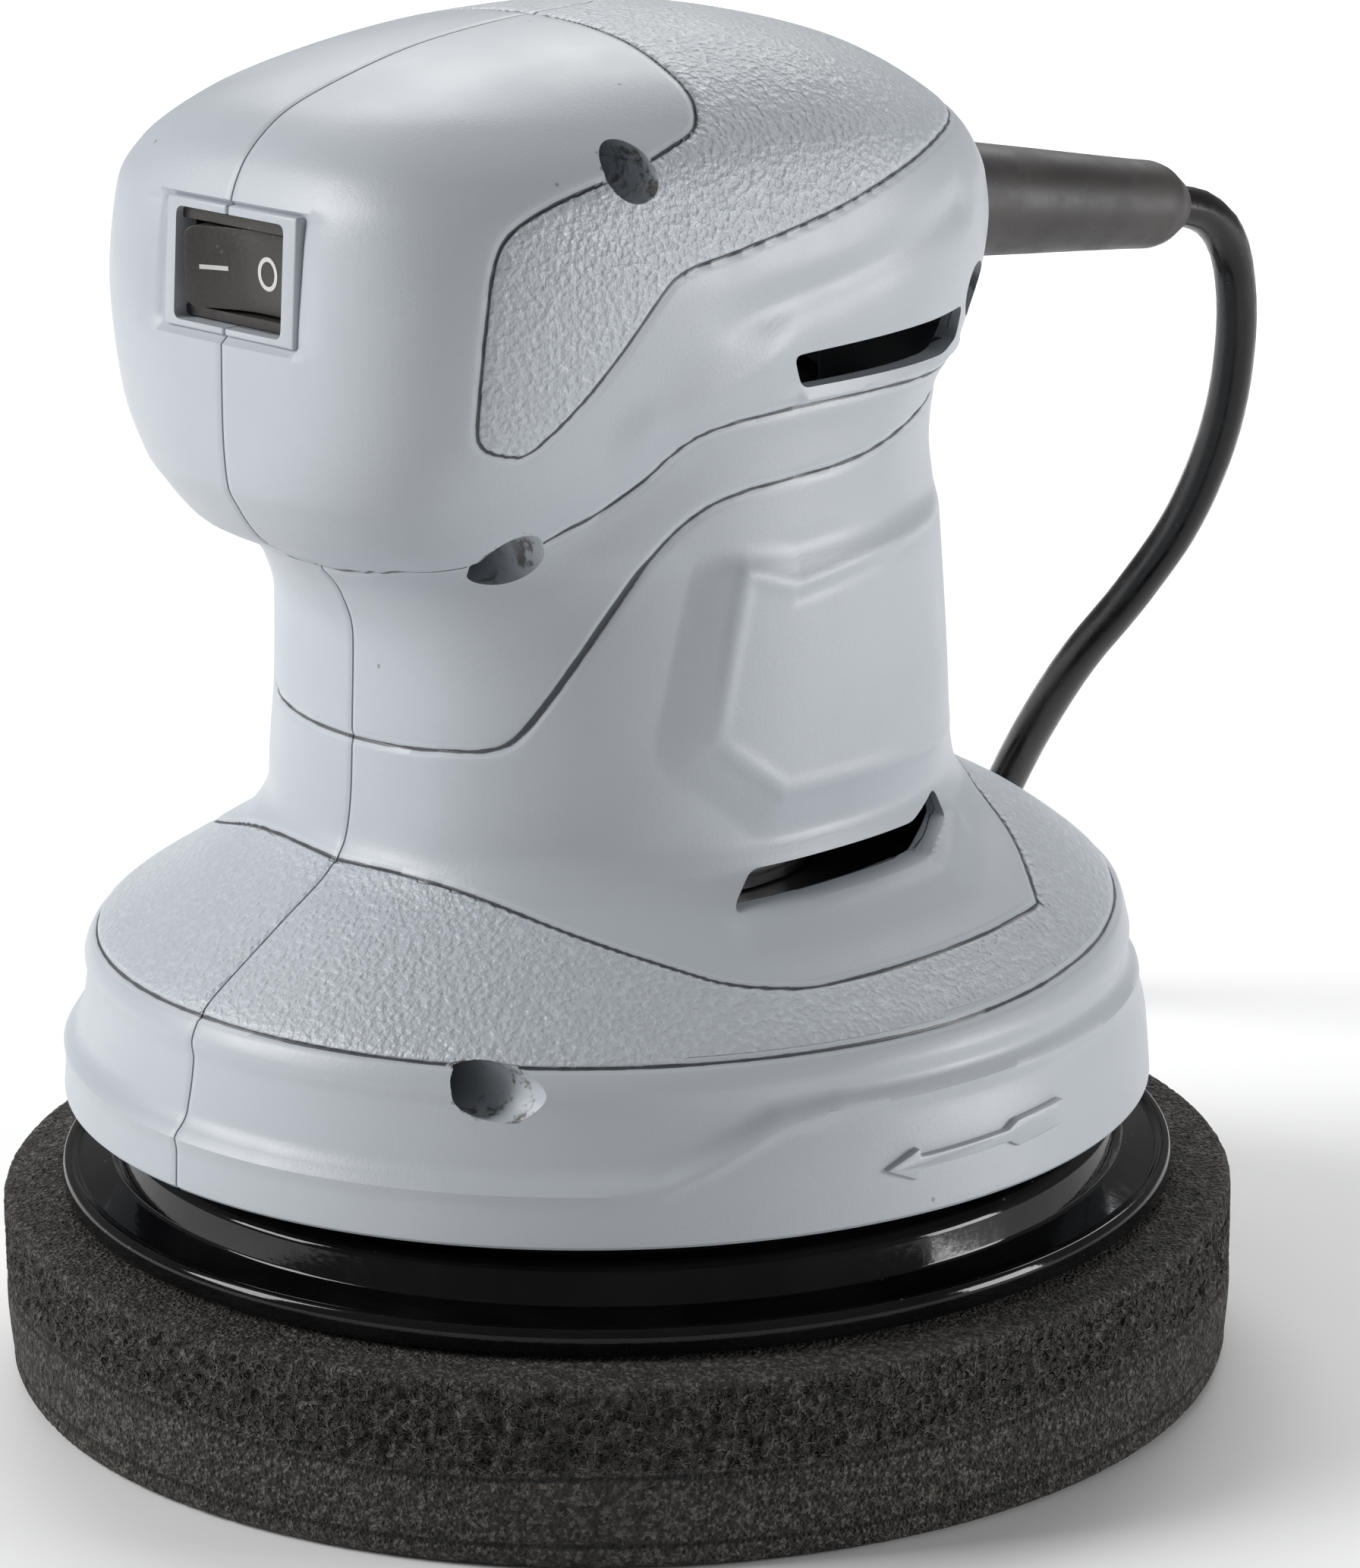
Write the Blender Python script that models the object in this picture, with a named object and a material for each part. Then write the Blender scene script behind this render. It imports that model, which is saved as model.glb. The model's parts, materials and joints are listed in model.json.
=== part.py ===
"""Palm orbital sander-polisher: clamshell housing, motor, eccentric drive, foam pad and mains lead.

Lengths are in millimetres and are scaled to metres when a mesh is made. The motor axis is Z, the
switch faces -Y, the lead leaves towards +Y, the two housing halves meet at X = 0, and the foam
pad's flat underside is at Z = 0.
"""
import math

import bmesh
import bpy
from mathutils import Matrix, Vector

MM = 0.001
GAP = 0.3                      # between pieces that touch on the real tool

# ---- driving dimensions -------------------------------------------------------------------------
WALL = 2.4                     # housing wall
PAD_R, PAD_BOTTOM_R, PAD_H = 74.5, 72.8, 22.0
PLATE_R = 67.3                 # backing plate
PLATE_BOTTOM = PAD_H + GAP
PLATE_TOP = 31.0
ORBIT = 1.5                    # offset of the pad's axis from the motor's
SHAFT_R = 4.0
SHAFT_BOTTOM, SHAFT_TOP = 43.1, 127.0
BORE_R = SHAFT_R + GAP
BEARING_R = 11.0
CAN_R, CAN_WALL = 26.0, 2.2
CAN_BOTTOM, CAN_TOP = 61.8, 113.0
SWITCH_AXIS = (0.4, -47.7)     # the rocker's upright pivot
SWITCH_Z = 138.2
ROCKER_REST = math.radians(10)  # rest is the O side pressed in
BOOT_BASE = Vector((0, 47.4, 134.4))
BOOT_TILT = math.radians(8)    # the strain relief points a little downwards
BOOT_LENGTH = 51.6
CORD_D = 5.4
COIL_CENTRE = (-92.0, 83.0)
COIL_R = 5.5 * CORD_D          # middle of its turns
COIL_TURNS_WIDE, COIL_LAYERS = 4, 2
COIL_IN = COIL_R - COIL_TURNS_WIDE / 2 * CORD_D
COIL_OUT = COIL_R + COIL_TURNS_WIDE / 2 * CORD_D
COIL_LIFT = 1.1                # the tie runs under the coil
COIL_TOP = COIL_LIFT + COIL_LAYERS * CORD_D
TIE_T = COIL_LIFT - GAP
TIE_ANGLE = math.radians(-140)
CLAMP_Y = 21.0                 # the clamp that grips the lead inside the head
CLAMP_Z = (129.8, 145.8)       # its two screws
BOARD_TOP = 129.6

# The housing is lofted through level rings, from the skirt's edge to the crown. Each ring has its
# height at the front, side and rear, its half-width, its reach to the front and to the rear, and
# how square it is at the front and at the rear (2 is an ellipse).
RINGS = [
    (34.0, 34.0, 34.0, 65.0, 65.2, 65.0, 2.0, 2.0),
    (41.0, 41.0, 41.0, 64.0, 64.8, 65.0, 2.0, 2.0),
    (46.5, 46.5, 46.5, 62.8, 63.7, 63.8, 2.0, 2.0),
    (50.5, 50.5, 51.0, 62.4, 63.0, 63.6, 2.0, 2.0),
    (53.6, 53.6, 55.0, 60.8, 61.6, 63.4, 2.0, 2.0),
    (55.2, 55.2, 57.4, 59.0, 60.0, 61.6, 2.0, 2.0),
    (62.0, 61.6, 64.0, 48.0, 50.0, 52.3, 2.1, 2.2),
    (67.2, 66.4, 67.6, 40.2, 42.3, 45.9, 2.2, 2.3),
    (70.5, 69.4, 70.0, 37.7, 39.8, 42.4, 2.3, 2.4),
    (76.0, 76.0, 76.0, 37.0, 38.8, 40.5, 2.4, 2.4),
    (85.0, 85.0, 85.0, 37.0, 38.3, 39.7, 2.3, 2.4),
    (94.0, 100.0, 104.0, 37.0, 37.9, 38.4, 2.3, 2.3),
    (99.0, 110.0, 112.0, 37.0, 39.3, 38.0, 2.3, 2.2),
    (103.0, 117.0, 119.0, 37.1, 42.6, 38.5, 2.2, 2.3),
    (107.3, 121.0, 123.0, 37.4, 50.5, 41.1, 2.3, 2.5),
    (111.5, 123.5, 125.5, 37.4, 53.7, 42.8, 2.5, 2.5),
    (114.5, 126.0, 128.0, 37.5, 55.1, 44.4, 2.7, 2.5),
    (121.0, 130.0, 132.0, 37.8, 55.5, 46.0, 3.2, 2.5),
    (130.5, 135.5, 137.0, 37.9, 55.3, 46.9, 3.6, 2.5),
    (138.0, 140.0, 141.5, 37.5, 54.6, 46.5, 3.8, 2.5),
    (145.0, 145.5, 146.0, 36.6, 53.6, 45.0, 3.8, 2.4),
    (149.5, 149.4, 148.7, 35.4, 51.8, 43.2, 3.4, 2.3),
    (154.6, 153.9, 152.6, 31.8, 46.2, 38.6, 2.8, 2.2),
    (158.0, 158.0, 156.7, 26.0, 37.0, 31.2, 2.6, 2.1),
    (160.9, 161.1, 160.1, 17.1, 24.5, 20.0, 2.5, 2.1),
    (162.3, 162.4, 162.0, 8.3, 11.5, 9.9, 2.4, 2.2),
]
CROWN = 162.8
HALF_COLUMNS = 16              # facets round one housing half

# Housing screws: (y, z) of each, seen from the side
SCREWS = {
    "crown": (-25.0, 149.7),
    "under_head": (-35.0, 106.5),
    "skirt_front": (-49.4, 51.0),
    "head_rear": (32.0, 129.0),
    "skirt_rear": (49.4, 52.0),
}
RIB_START = 0.4                # ribs and bosses stop this far from the joint plane
SCREW_HEAD_X = 12.0            # depth of the recess floor from the joint plane
SCREW_RECESS_R = 3.3

# Vent slots in each side wall, as outlines in (y, z)
VENTS = {
    "upper": [(-4.0, 127.0), (-2.5, 123.1), (23.5, 123.0), (27.5, 124.2), (27.5, 128.0), (20.0, 127.6)],
    "lower": [(-16.0, 65.0), (-10.5, 68.6), (15.7, 68.8), (22.5, 71.0), (22.5, 68.4), (14.4, 65.6)],
}

# The free lead's route from the strain relief down to the coil
CORD_ROUTE = [
    (0, 98.8, 127.0), (0, 103.4, 126.0), (-0.3, 107.8, 123.2), (-1.2, 111.6, 117.8), (-3, 114.4, 107.8),
    (-7, 116.2, 94.7), (-13, 115.8, 81.4), (-21, 114.4, 69.8), (-30, 113.7, 59.4), (-38, 114.4, 49.4),
    (-46, 116.2, 38.8), (-53, 118.2, 28.2), (-60, 119.8, 17.8), (-68, 120.8, 9.2), (-78, 120.9, 4.8),
    (-92, 120.8, COIL_LIFT + CORD_D / 2),
]
# The short tail from the plug back to the coil's upper turns
TAIL_ROUTE = [
    (-124, 119.4, 7.0), (-118, 119.6, 7.4), (-108, 120.2, 8.4), (-99, 120.7, 9.1),
    (-92, 120.8, COIL_LIFT + CORD_D * 1.5),
]
PLUG_END = Vector(TAIL_ROUTE[0])
PLUG_LENGTH, PLUG_W, PLUG_H = 33.0, 22.0, 13.6
BLADE = (17.0, 1.5, 6.3)
BLADE_SPACING = 12.7
FINE = 0.2                     # how closely a lead's curve is read before its points are picked


# ---- making meshes ------------------------------------------------------------------------------
def clear_scene():
    for old in list(bpy.data.objects):
        bpy.data.objects.remove(old, do_unlink=True)


def material(name, colour, roughness, metallic=0.0):
    mat = bpy.data.materials.new(name)
    mat.use_nodes = True
    shader = mat.node_tree.nodes["Principled BSDF"]
    shader.inputs["Base Color"].default_value = (*colour, 1)
    shader.inputs["Roughness"].default_value = roughness
    shader.inputs["Metallic"].default_value = metallic
    mat.diffuse_color = (*colour, 1)
    return mat


def finish(bm, name, mat, matrix=None, origin=(0, 0, 0), smooth=35):
    """Turn a bmesh in millimetres into a named object whose own origin is at `origin`."""
    bmesh.ops.remove_doubles(bm, verts=bm.verts, dist=1e-4)
    if matrix is not None:
        bmesh.ops.transform(bm, matrix=matrix, verts=bm.verts)
    bmesh.ops.translate(bm, vec=-Vector(origin), verts=bm.verts)
    bmesh.ops.scale(bm, vec=(MM, MM, MM), verts=bm.verts)
    bmesh.ops.recalc_face_normals(bm, faces=bm.faces)
    mesh = bpy.data.meshes.new(name)
    bm.to_mesh(mesh)
    bm.free()
    if smooth:
        mesh.shade_smooth()
        mesh.set_sharp_from_angle(angle=math.radians(smooth))
    obj = bpy.data.objects.new(name, mesh)
    bpy.context.scene.collection.objects.link(obj)
    obj.location = Vector(origin) * MM
    if mat:
        mesh.materials.append(mat)
    return obj


def turned(name, profile, mat, steps=32, matrix=None, origin=(0, 0, 0)):
    """Spin a closed (radius, height) outline about Z; points at radius 0 lie on the axis."""
    bm = bmesh.new()
    verts = [bm.verts.new((r, 0, z)) for r, z in profile]
    edges = []
    for a, b in zip(verts, verts[1:] + verts[:1]):
        if a.co.x > 0 or b.co.x > 0:
            edges.append(bm.edges.new((a, b)))
    bmesh.ops.spin(bm, geom=verts + edges, cent=(0, 0, 0), axis=(0, 0, 1), dvec=(0, 0, 0),
                   angle=2 * math.pi, steps=steps, use_merge=True, use_duplicate=False)
    return finish(bm, name, mat, matrix, origin)


def ring(name, r_in, r_out, z0, z1, mat, steps=32, at=(0, 0), chamfer=0.0):
    """A plain or chamfered ring about an upright axis through `at`."""
    c = chamfer
    outer = [(r_out - c, z0), (r_out, z0 + c), (r_out, z1 - c), (r_out - c, z1)] if c else \
        [(r_out, z0), (r_out, z1)]
    profile = [(r_in, z0)] + outer + [(r_in, z1)]
    return turned(name, profile, mat, steps, Matrix.Translation((at[0], at[1], 0)))


def box(name, low, high, mat, origin=(0, 0, 0)):
    bm = bmesh.new()
    bmesh.ops.create_cube(bm, size=1)
    low, high = Vector(low), Vector(high)
    bmesh.ops.scale(bm, vec=high - low, verts=bm.verts)
    bmesh.ops.translate(bm, vec=(low + high) / 2, verts=bm.verts)
    return finish(bm, name, mat, None, origin, smooth=0)


def rod(name, radius, start, end, mat=None, steps=16, radius_end=None):
    """A cylinder or cone from one point to another."""
    start, end = Vector(start), Vector(end)
    along = end - start
    bm = bmesh.new()
    bmesh.ops.create_cone(bm, cap_ends=True, segments=steps, radius1=radius,
                          radius2=radius if radius_end is None else radius_end, depth=along.length)
    turn = along.to_track_quat("Z", "Y").to_matrix().to_4x4()
    return finish(bm, name, mat, Matrix.Translation((start + end) / 2) @ turn)


def prism(name, outline, low, high, mat, axis="Z", origin=(0, 0, 0), smooth=0, matrix=None):
    """Extrude an outline along Z, or an outline in (y, z) along X."""
    bm = bmesh.new()
    put = (lambda u, v: (low, u, v)) if axis == "X" else (lambda u, v: (u, v, low))
    face = bm.faces.new([bm.verts.new(put(u, v)) for u, v in outline])
    top = bmesh.ops.extrude_face_region(bm, geom=[face])
    move = (high - low, 0, 0) if axis == "X" else (0, 0, high - low)
    moved = [v for v in top["geom"] if isinstance(v, bmesh.types.BMVert)]
    bmesh.ops.translate(bm, vec=move, verts=moved)
    return finish(bm, name, mat, matrix, origin, smooth=smooth)


def arc(radius, start, stop, count):
    """Points on a circle about the origin, angles in degrees."""
    angles = [math.radians(start + (stop - start) * i / count) for i in range(count + 1)]
    return [(radius * math.cos(a), radius * math.sin(a)) for a in angles]


def boolean(obj, tool, operation="DIFFERENCE", solver="EXACT"):
    """Cut, join or trim an object with a tool, which the build then leaves out."""
    modifier = obj.modifiers.new(operation.lower(), "BOOLEAN")
    modifier.operation = operation
    modifier.solver = solver
    modifier.object = tool
    tool.hide_render = True
    tool.display_type = "WIRE"


def tube(name, points, diameter, mat, resolution=2):
    """A round lead along a smooth curve that is already read into closely spaced points."""
    curve = bpy.data.curves.new(name, "CURVE")
    curve.dimensions = "3D"
    curve.bevel_depth = diameter / 2 * MM
    curve.bevel_resolution = resolution
    curve.use_fill_caps = True
    spline = curve.splines.new("POLY")
    spline.points.add(len(points) - 1)
    for point, place in zip(spline.points, points):
        point.co = (*(Vector(place) * MM), 1)
    obj = bpy.data.objects.new(name, curve)
    bpy.context.scene.collection.objects.link(obj)
    curve.materials.append(mat)
    return obj


def smooth_path(route, spacing):
    """Read a Catmull-Rom curve through the route's points at about the given spacing."""
    points = [Vector(p) for p in route]
    points = [2 * points[0] - points[1]] + points + [2 * points[-1] - points[-2]]
    path = []
    for p0, p1, p2, p3 in zip(points, points[1:], points[2:], points[3:]):
        count = max(1, round((p2 - p1).length / spacing))
        for i in range(count):
            t = i / count
            path.append(0.5 * (2 * p1 + (p2 - p0) * t + (2 * p0 - 5 * p1 + 4 * p2 - p3) * t ** 2
                               + (3 * p1 - p0 - 3 * p2 + p3) * t ** 3))
    return path + [points[-2]]


# ---- housing ------------------------------------------------------------------------------------
def ease(x):
    x = min(1.0, max(0.0, x))
    return x * x * (3 - 2 * x)


def ring_point(ring_values, angle):
    """A point of one ring; angle 0 is +X, -90 degrees the front, +90 degrees the rear."""
    z_front, z_side, z_rear, width, front, rear, square_front, square_rear = ring_values
    c, s = math.cos(angle), math.sin(angle)
    reach, power = (front, square_front) if s < 0 else (rear, square_rear)
    r = ((abs(c) / width) ** power + (abs(s) / reach) ** power) ** (-1 / power)
    share = r * s / reach
    z = z_side + (z_front - z_side) * ease((-share - 0.35) / 0.6) \
        + (z_rear - z_side) * ease((share - 0.2) / 0.7)
    return Vector((r * c, r * s, z))


def shell_point(index, angle, inset):
    """A point of the housing's surface, moved inwards in its own upright plane by `inset`."""
    here = ring_point(RINGS[index], angle)
    below = ring_point(RINGS[max(index - 1, 0)], angle)
    above = ring_point(RINGS[index + 1], angle) if index + 1 < len(RINGS) else Vector((0, 0, CROWN))
    run = math.hypot(above.x, above.y) - math.hypot(below.x, below.y)
    rise = above.z - below.z
    length = math.hypot(run, rise)
    radius = math.hypot(here.x, here.y) - inset * rise / length
    z = here.z + inset * run / length if index else here.z
    return Vector((radius * math.cos(angle), radius * math.sin(angle), z))


def half_grid(bm, side, inset, rows):
    """One half's surface as rows of vertices from the skirt up, closed by the crown point."""
    grid = []
    for index in rows:
        angles = [math.pi * (k / HALF_COLUMNS - 0.5) for k in range(HALF_COLUMNS + 1)]
        points = [shell_point(index, angle, inset) for angle in angles]
        grid.append([bm.verts.new((side * (abs(p.x) + GAP / 2), p.y, p.z)) for p in points])
    crown = bm.verts.new((side * GAP / 2, 0, CROWN - inset))
    for low, high in zip(grid, grid[1:]):
        for k in range(HALF_COLUMNS):
            bm.faces.new((low[k], low[k + 1], high[k + 1], high[k]))
    for k in range(HALF_COLUMNS):
        bm.faces.new((grid[-1][k], grid[-1][k + 1], crown))
    return grid, crown


def half_shell(name, side, mat):
    """A hollow housing half: outer skin, inner skin, skirt edge and joint face."""
    bm = bmesh.new()
    outer, outer_crown = half_grid(bm, side, 0, range(len(RINGS)))
    inner_rows = [0, 2, 4, 6, 8, 10, 11, 12, 13, 14, 15, 17, 19, 21, 23, len(RINGS) - 1]
    inner, inner_crown = half_grid(bm, side, WALL, inner_rows)
    for k in range(HALF_COLUMNS):
        bm.faces.new((outer[0][k], outer[0][k + 1], inner[0][k + 1], inner[0][k]))
    for edge in (0, HALF_COLUMNS):
        for row, (low, high) in enumerate(zip(inner_rows, inner_rows[1:])):
            outside = [outer[i][edge] for i in range(low, high + 1)]
            bm.faces.new(outside + [inner[row + 1][edge], inner[row][edge]])
        bm.faces.new((outer[-1][edge], outer_crown, inner_crown, inner[-1][edge]))
    return finish(bm, name, mat)


def half_core(name, side):
    """A solid of the half, ending inside its wall, to trim what is moulded onto the shell."""
    bm = bmesh.new()
    grid, crown = half_grid(bm, side, WALL / 2, range(len(RINGS)))
    bm.faces.new(grid[0])
    bm.faces.new([row[0] for row in grid] + [crown] + [row[-1] for row in reversed(grid)])
    return finish(bm, name, None)


def drill(shell, name, radius, x_range, spot, steps):
    """Cut a hole along X through a moulded half, about the given (y, z)."""
    ends = [(x, *spot) for x in x_range]
    boolean(shell, rod(name, radius, *ends, steps=steps), solver="MANIFOLD")


def moulded(shell, core, name, tool, cut=None):
    """Trim a rib or boss to the inside of the half, cut it if needed, and fuse it to the shell."""
    boolean(tool, core, "INTERSECT", "MANIFOLD")
    if cut:
        boolean(tool, cut, solver="MANIFOLD")
    tool.name = name
    boolean(shell, tool, "UNION", "MANIFOLD")


def build_housing(mat):
    can_space = rod("cut_motor_space", CAN_R + GAP * 1.5, (0, 0, 50), (0, 0, 120), steps=28)
    hub_space = rod("cut_plate_space", 30, (0, 0, 50), (0, 0, 80), steps=24)
    window = box("cut_switch_window", (-9.3, -70, 131.9), (10.1, -50.0, 144.6), None)
    along = boot_direction()
    cord_hole = rod("cut_cord_hole", 6.1, BOOT_BASE - along * 12, BOOT_BASE + along * 8, steps=24)
    halves = []
    for label, side in (("left", 1), ("right", -1)):
        shell = half_shell(f"housing_{label}", side, mat)
        core = half_core(f"guide_core_{label}", side)
        core.hide_render = True
        core.display_type = "WIRE"
        near, far = side * RIB_START, side * 70
        low_x, high_x = min(near, far), max(near, far)
        lower_rib = box(f"guide_rib_low_{label}", (low_x, -52, 61.8), (high_x, 52, 63.8), None)
        moulded(shell, core, f"guide_plate_rib_{label}", lower_rib, hub_space)
        upper_rib = box(f"guide_rib_high_{label}", (low_x, -34, 108), (high_x, 34, 110), None)
        moulded(shell, core, f"guide_can_rib_{label}", upper_rib, can_space)
        for k, y in enumerate((-12, 12)):
            shelf_low, shelf_high = min(side * 13, far), max(side * 13, far)
            shelf = box(f"guide_shelf_{k}", (shelf_low, y - 2, 126.2), (shelf_high, y + 2, 127.7), None)
            moulded(shell, core, f"guide_board_shelf_{label}_{k}", shelf)
        for key, (y, z) in SCREWS.items():
            boss = rod("guide_boss", 4.9, (near, y, z), (far, y, z), steps=10)
            moulded(shell, core, f"guide_boss_{label}_{key}", boss)
        if side < 0:
            for k, z in enumerate(CLAMP_Z):
                post = rod("guide_post", 3.2, (-0.8, CLAMP_Y, z), (far, CLAMP_Y, z), steps=12)
                moulded(shell, core, f"guide_clamp_post_{k}", post)
                drill(shell, f"cut_clamp_pilot_{k}", 1.5, (-10, 2), (CLAMP_Y, z), 10)
        for key, spot in SCREWS.items():
            if side > 0:
                drill(shell, f"cut_recess_{key}", SCREW_RECESS_R, (SCREW_HEAD_X, 75), spot, 12)
                drill(shell, f"cut_clear_{key}", 1.8, (-2, SCREW_HEAD_X + 2), spot, 8)
            else:
                drill(shell, f"cut_pilot_{key}", 1.8, (-15, 2), spot, 8)
        for key, outline in VENTS.items():
            slot = prism(f"cut_vent_{key}_{label}", outline, min(side * 29, side * 50),
                         max(side * 29, side * 50), None, axis="X")
            boolean(shell, slot, solver="MANIFOLD")
        boolean(shell, window, solver="MANIFOLD")
        boolean(shell, cord_hole, solver="MANIFOLD")
        halves.append(shell)
    return halves


def build_housing_screws(mat):
    """Thread-forming screws that hold the left half to the bosses of the right half."""
    for key, (y, z) in SCREWS.items():
        profile = [(0, 0), (1.5, 0), (1.5, 26), (2.9, 26.3), (2.9, 28.2), (0, 28.4)]
        profile = [(r, h - 26 + SCREW_HEAD_X + GAP) for r, h in profile]
        lay_down = Matrix.Translation((0, y, z)) @ Matrix.Rotation(math.radians(90), 4, "Y")
        turned(f"housing_screw_{key}", profile, mat, 12, lay_down)


# ---- switch -------------------------------------------------------------------------------------
def build_switch(black, metal):
    x, y = SWITCH_AXIS
    body = box("switch_body", (x - 11.0, -49.7, SWITCH_Z - 7.2), (x + 11.0, -34, SWITCH_Z + 7.2), black)
    boolean(body, box("switch_rails", (x - 9.4, -53.0, SWITCH_Z - 6.0), (x + 9.4, -45, SWITCH_Z + 6.1), None),
            "UNION")
    boolean(body, box("cut_switch_pocket", (x - 9.6, -60, SWITCH_Z - 4.9), (x + 9.6, y + 4, SWITCH_Z + 4.9),
                      None))
    for k, offset in enumerate((-5, 5)):
        box(f"switch_terminal_{k + 1}", (x + offset - 2.4, -34 + GAP, SWITCH_Z - 0.4),
            (x + offset + 2.4, -26, SWITCH_Z + 0.4), metal)
    face = [(-8.0, -6.1), (-5.5, -5.35), (-2.8, -4.75), (0, -4.5), (2.8, -4.75), (5.5, -5.35), (8.0, -6.1)]
    back = [(7.4, -2.6), (3.2, 2.6), (-3.2, 2.6), (-7.4, -2.6)]
    rocker = prism("switch_rocker", face + back, SWITCH_Z - 4.6, SWITCH_Z + 4.6, black,
                   matrix=Matrix.Translation((x, y, 0)) @ Matrix.Rotation(ROCKER_REST, 4, "Z"),
                   origin=(x, y, SWITCH_Z))
    bevel = rocker.modifiers.new("edges", "BEVEL")
    bevel.width = 0.6 * MM
    bevel.segments = 1
    bevel.limit_method = "ANGLE"
    bevel.angle_limit = math.radians(60)


# ---- motor --------------------------------------------------------------------------------------
def build_motor(steel, dark, magnet, copper, carbon, plastic):
    ring("motor_can", CAN_R - CAN_WALL, CAN_R, CAN_BOTTOM, CAN_TOP, steel, 28)
    for label, middle in (("left", 0), ("right", 180)):
        outline = arc(23.4, middle - 60, middle + 60, 10) + arc(20.0, middle + 60, middle - 60, 10)
        prism(f"magnet_{label}", outline, 72, 104, magnet, smooth=35)
    bell = [(26, 113.3), (26, 119.5), (13, 121.5), (13, 126.5), (9.3, 126.5), (9.3, 119.5), (5.5, 119.5),
            (5.5, 118), (22, 116.5), (22, 113.3)]
    turned("end_bell", bell, plastic, 20)
    ring("upper_bearing", BORE_R, 9.0, 119.8, 125.8, steel, 20, chamfer=0.4)
    plate = [(11.3, 57.3), (15, 57.3), (15, 58.5), (44, 58.5), (44, 61.5), (15, 61.5), (15, 64.8),
             (11.3, 64.8)]
    plate_obj = turned("bearing_plate", plate, plastic, 24)
    for k in range(4):
        angle = math.radians(45 + 90 * k)
        spot = Vector((19.4 * math.cos(angle), 19.4 * math.sin(angle), 0))
        low, high = spot + Vector((0, 0, 55)), spot + Vector((0, 0, 65))
        boolean(plate_obj, rod(f"cut_air_hole_{k}", 3.2, low, high, steps=10))
    ring("lower_bearing", BORE_R, BEARING_R, 57.5, 64.5, steel, 20, chamfer=0.4)
    for label, side in (("front", -1), ("rear", 1)):
        inner, outer = side * 9.4, side * 19.0
        box(f"carbon_brush_{label}", (-3, min(inner, outer), 111), (3, max(inner, outer), 115.5), carbon)

    # everything below turns with the shaft
    turned("motor_shaft", [(0, SHAFT_BOTTOM), (SHAFT_R, SHAFT_BOTTOM), (SHAFT_R, SHAFT_TOP - 0.6),
                           (SHAFT_R - 0.6, SHAFT_TOP), (0, SHAFT_TOP)], steel, 20)
    slots = []
    for k in range(12):
        slots += arc(19.2, 30 * k - 11, 30 * k + 11, 2) + arc(14.5, 30 * k + 13, 30 * k + 17, 1)
    core = prism("armature_core", slots, 74, 102, dark)
    boolean(core, rod("cut_core_bore", BORE_R, (0, 0, 60), (0, 0, 110), steps=20))
    for label, low, high in (("lower", 66.5, 73.7), ("upper", 102.3, 108.6)):
        coil = [(6, low), (13, low), (17, low + 2.5), (17, high - 2.5), (13, high), (6, high)]
        turned(f"winding_{label}", coil, copper, 18)
    ring("commutator", BORE_R, 9.0, 109.0, 117.0, copper, 20)


# ---- fan, eccentric and pad ---------------------------------------------------------------------
def build_fan(mat):
    disc = [(BORE_R, 47.3), (38, 47.3), (38, 48.8), (10, 48.8), (10, 55.5), (BORE_R, 55.5)]
    fan = turned("cooling_fan", disc, mat, 28)
    for k in range(9):
        turn = Matrix.Rotation(math.radians(40 * k), 4, "Z")
        blade = prism(f"guide_blade_{k}", [(9.5, -0.8), (37, 3.2), (37, 4.8), (9.5, 0.8)], 48.0, 55.0, None,
                      matrix=turn)
        boolean(fan, blade, "UNION")


def build_eccentric(dark, steel):
    hub_profile = [(0, 33), (15, 33), (15, 47), (BORE_R, 47), (BORE_R, 42.8), (0, 42.8)]
    hub = turned("eccentric_hub", hub_profile, dark, 24)
    boolean(hub, rod("cut_bearing_pocket", BEARING_R + GAP, (ORBIT, 0, 30), (ORBIT, 0, 40.6), steps=24))
    outline = arc(33, 115, 245, 14) + arc(15.3, 245, 115, 10)
    prism("counterweight", outline, 37, 44, steel, smooth=35)
    ring("pad_bearing", BORE_R, BEARING_R, 33.3, 40.3, steel, 20, at=(ORBIT, 0), chamfer=0.4)


def build_pad(gloss, foam, steel):
    """The pad and what holds it, about the eccentric axis."""
    axis = (ORBIT, 0, 0)
    shift = Matrix.Translation(axis)
    spindle = [(0, 38.5), (3.0, 38.5), (3.0, 27.9), (4.0, 27.9), (4.0, 31.3), (9, 31.3), (9, 32.8),
               (4.0, 32.8), (4.0, 40.2), (0, 40.2)]
    turned("pad_spindle", spindle, steel, 16, shift, axis)
    plate = [(8.3, PLATE_BOTTOM), (66.3, PLATE_BOTTOM), (PLATE_R, 23.2), (PLATE_R, 24.8), (66.6, 25.7),
             (65.4, 25.7), (64.4, 25.0), (61.4, 26.4), (60.2, 28.0), (59.8, 30.4), (58.8, PLATE_TOP),
             (4.3, PLATE_TOP), (4.3, 27.6), (8.3, 27.6)]
    turned("backing_plate", plate, gloss, 40, shift, axis)
    pad = [(0, 0), (PAD_BOTTOM_R - 3, 0), (PAD_BOTTOM_R, 2.2), (PAD_R, 8), (PAD_R, PAD_H - 0.8),
           (PAD_R - 0.8, PAD_H), (0, PAD_H)]
    turned("foam_pad", pad, foam, 48, shift, axis)
    ring("pad_washer", 3.0, 7.5, 26.6, 27.5, steel, 16, at=(ORBIT, 0))
    screw = [(0, 22.8), (4.6, 22.8), (5.2, 23.6), (5.2, 26.3), (2.6, 26.3), (2.6, 38.0), (0, 38.0)]
    turned("pad_screw", screw, steel, 12, shift, axis)


# ---- electrics inside the head ------------------------------------------------------------------
def boot_direction():
    return Vector((0, math.cos(BOOT_TILT), -math.sin(BOOT_TILT)))


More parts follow.
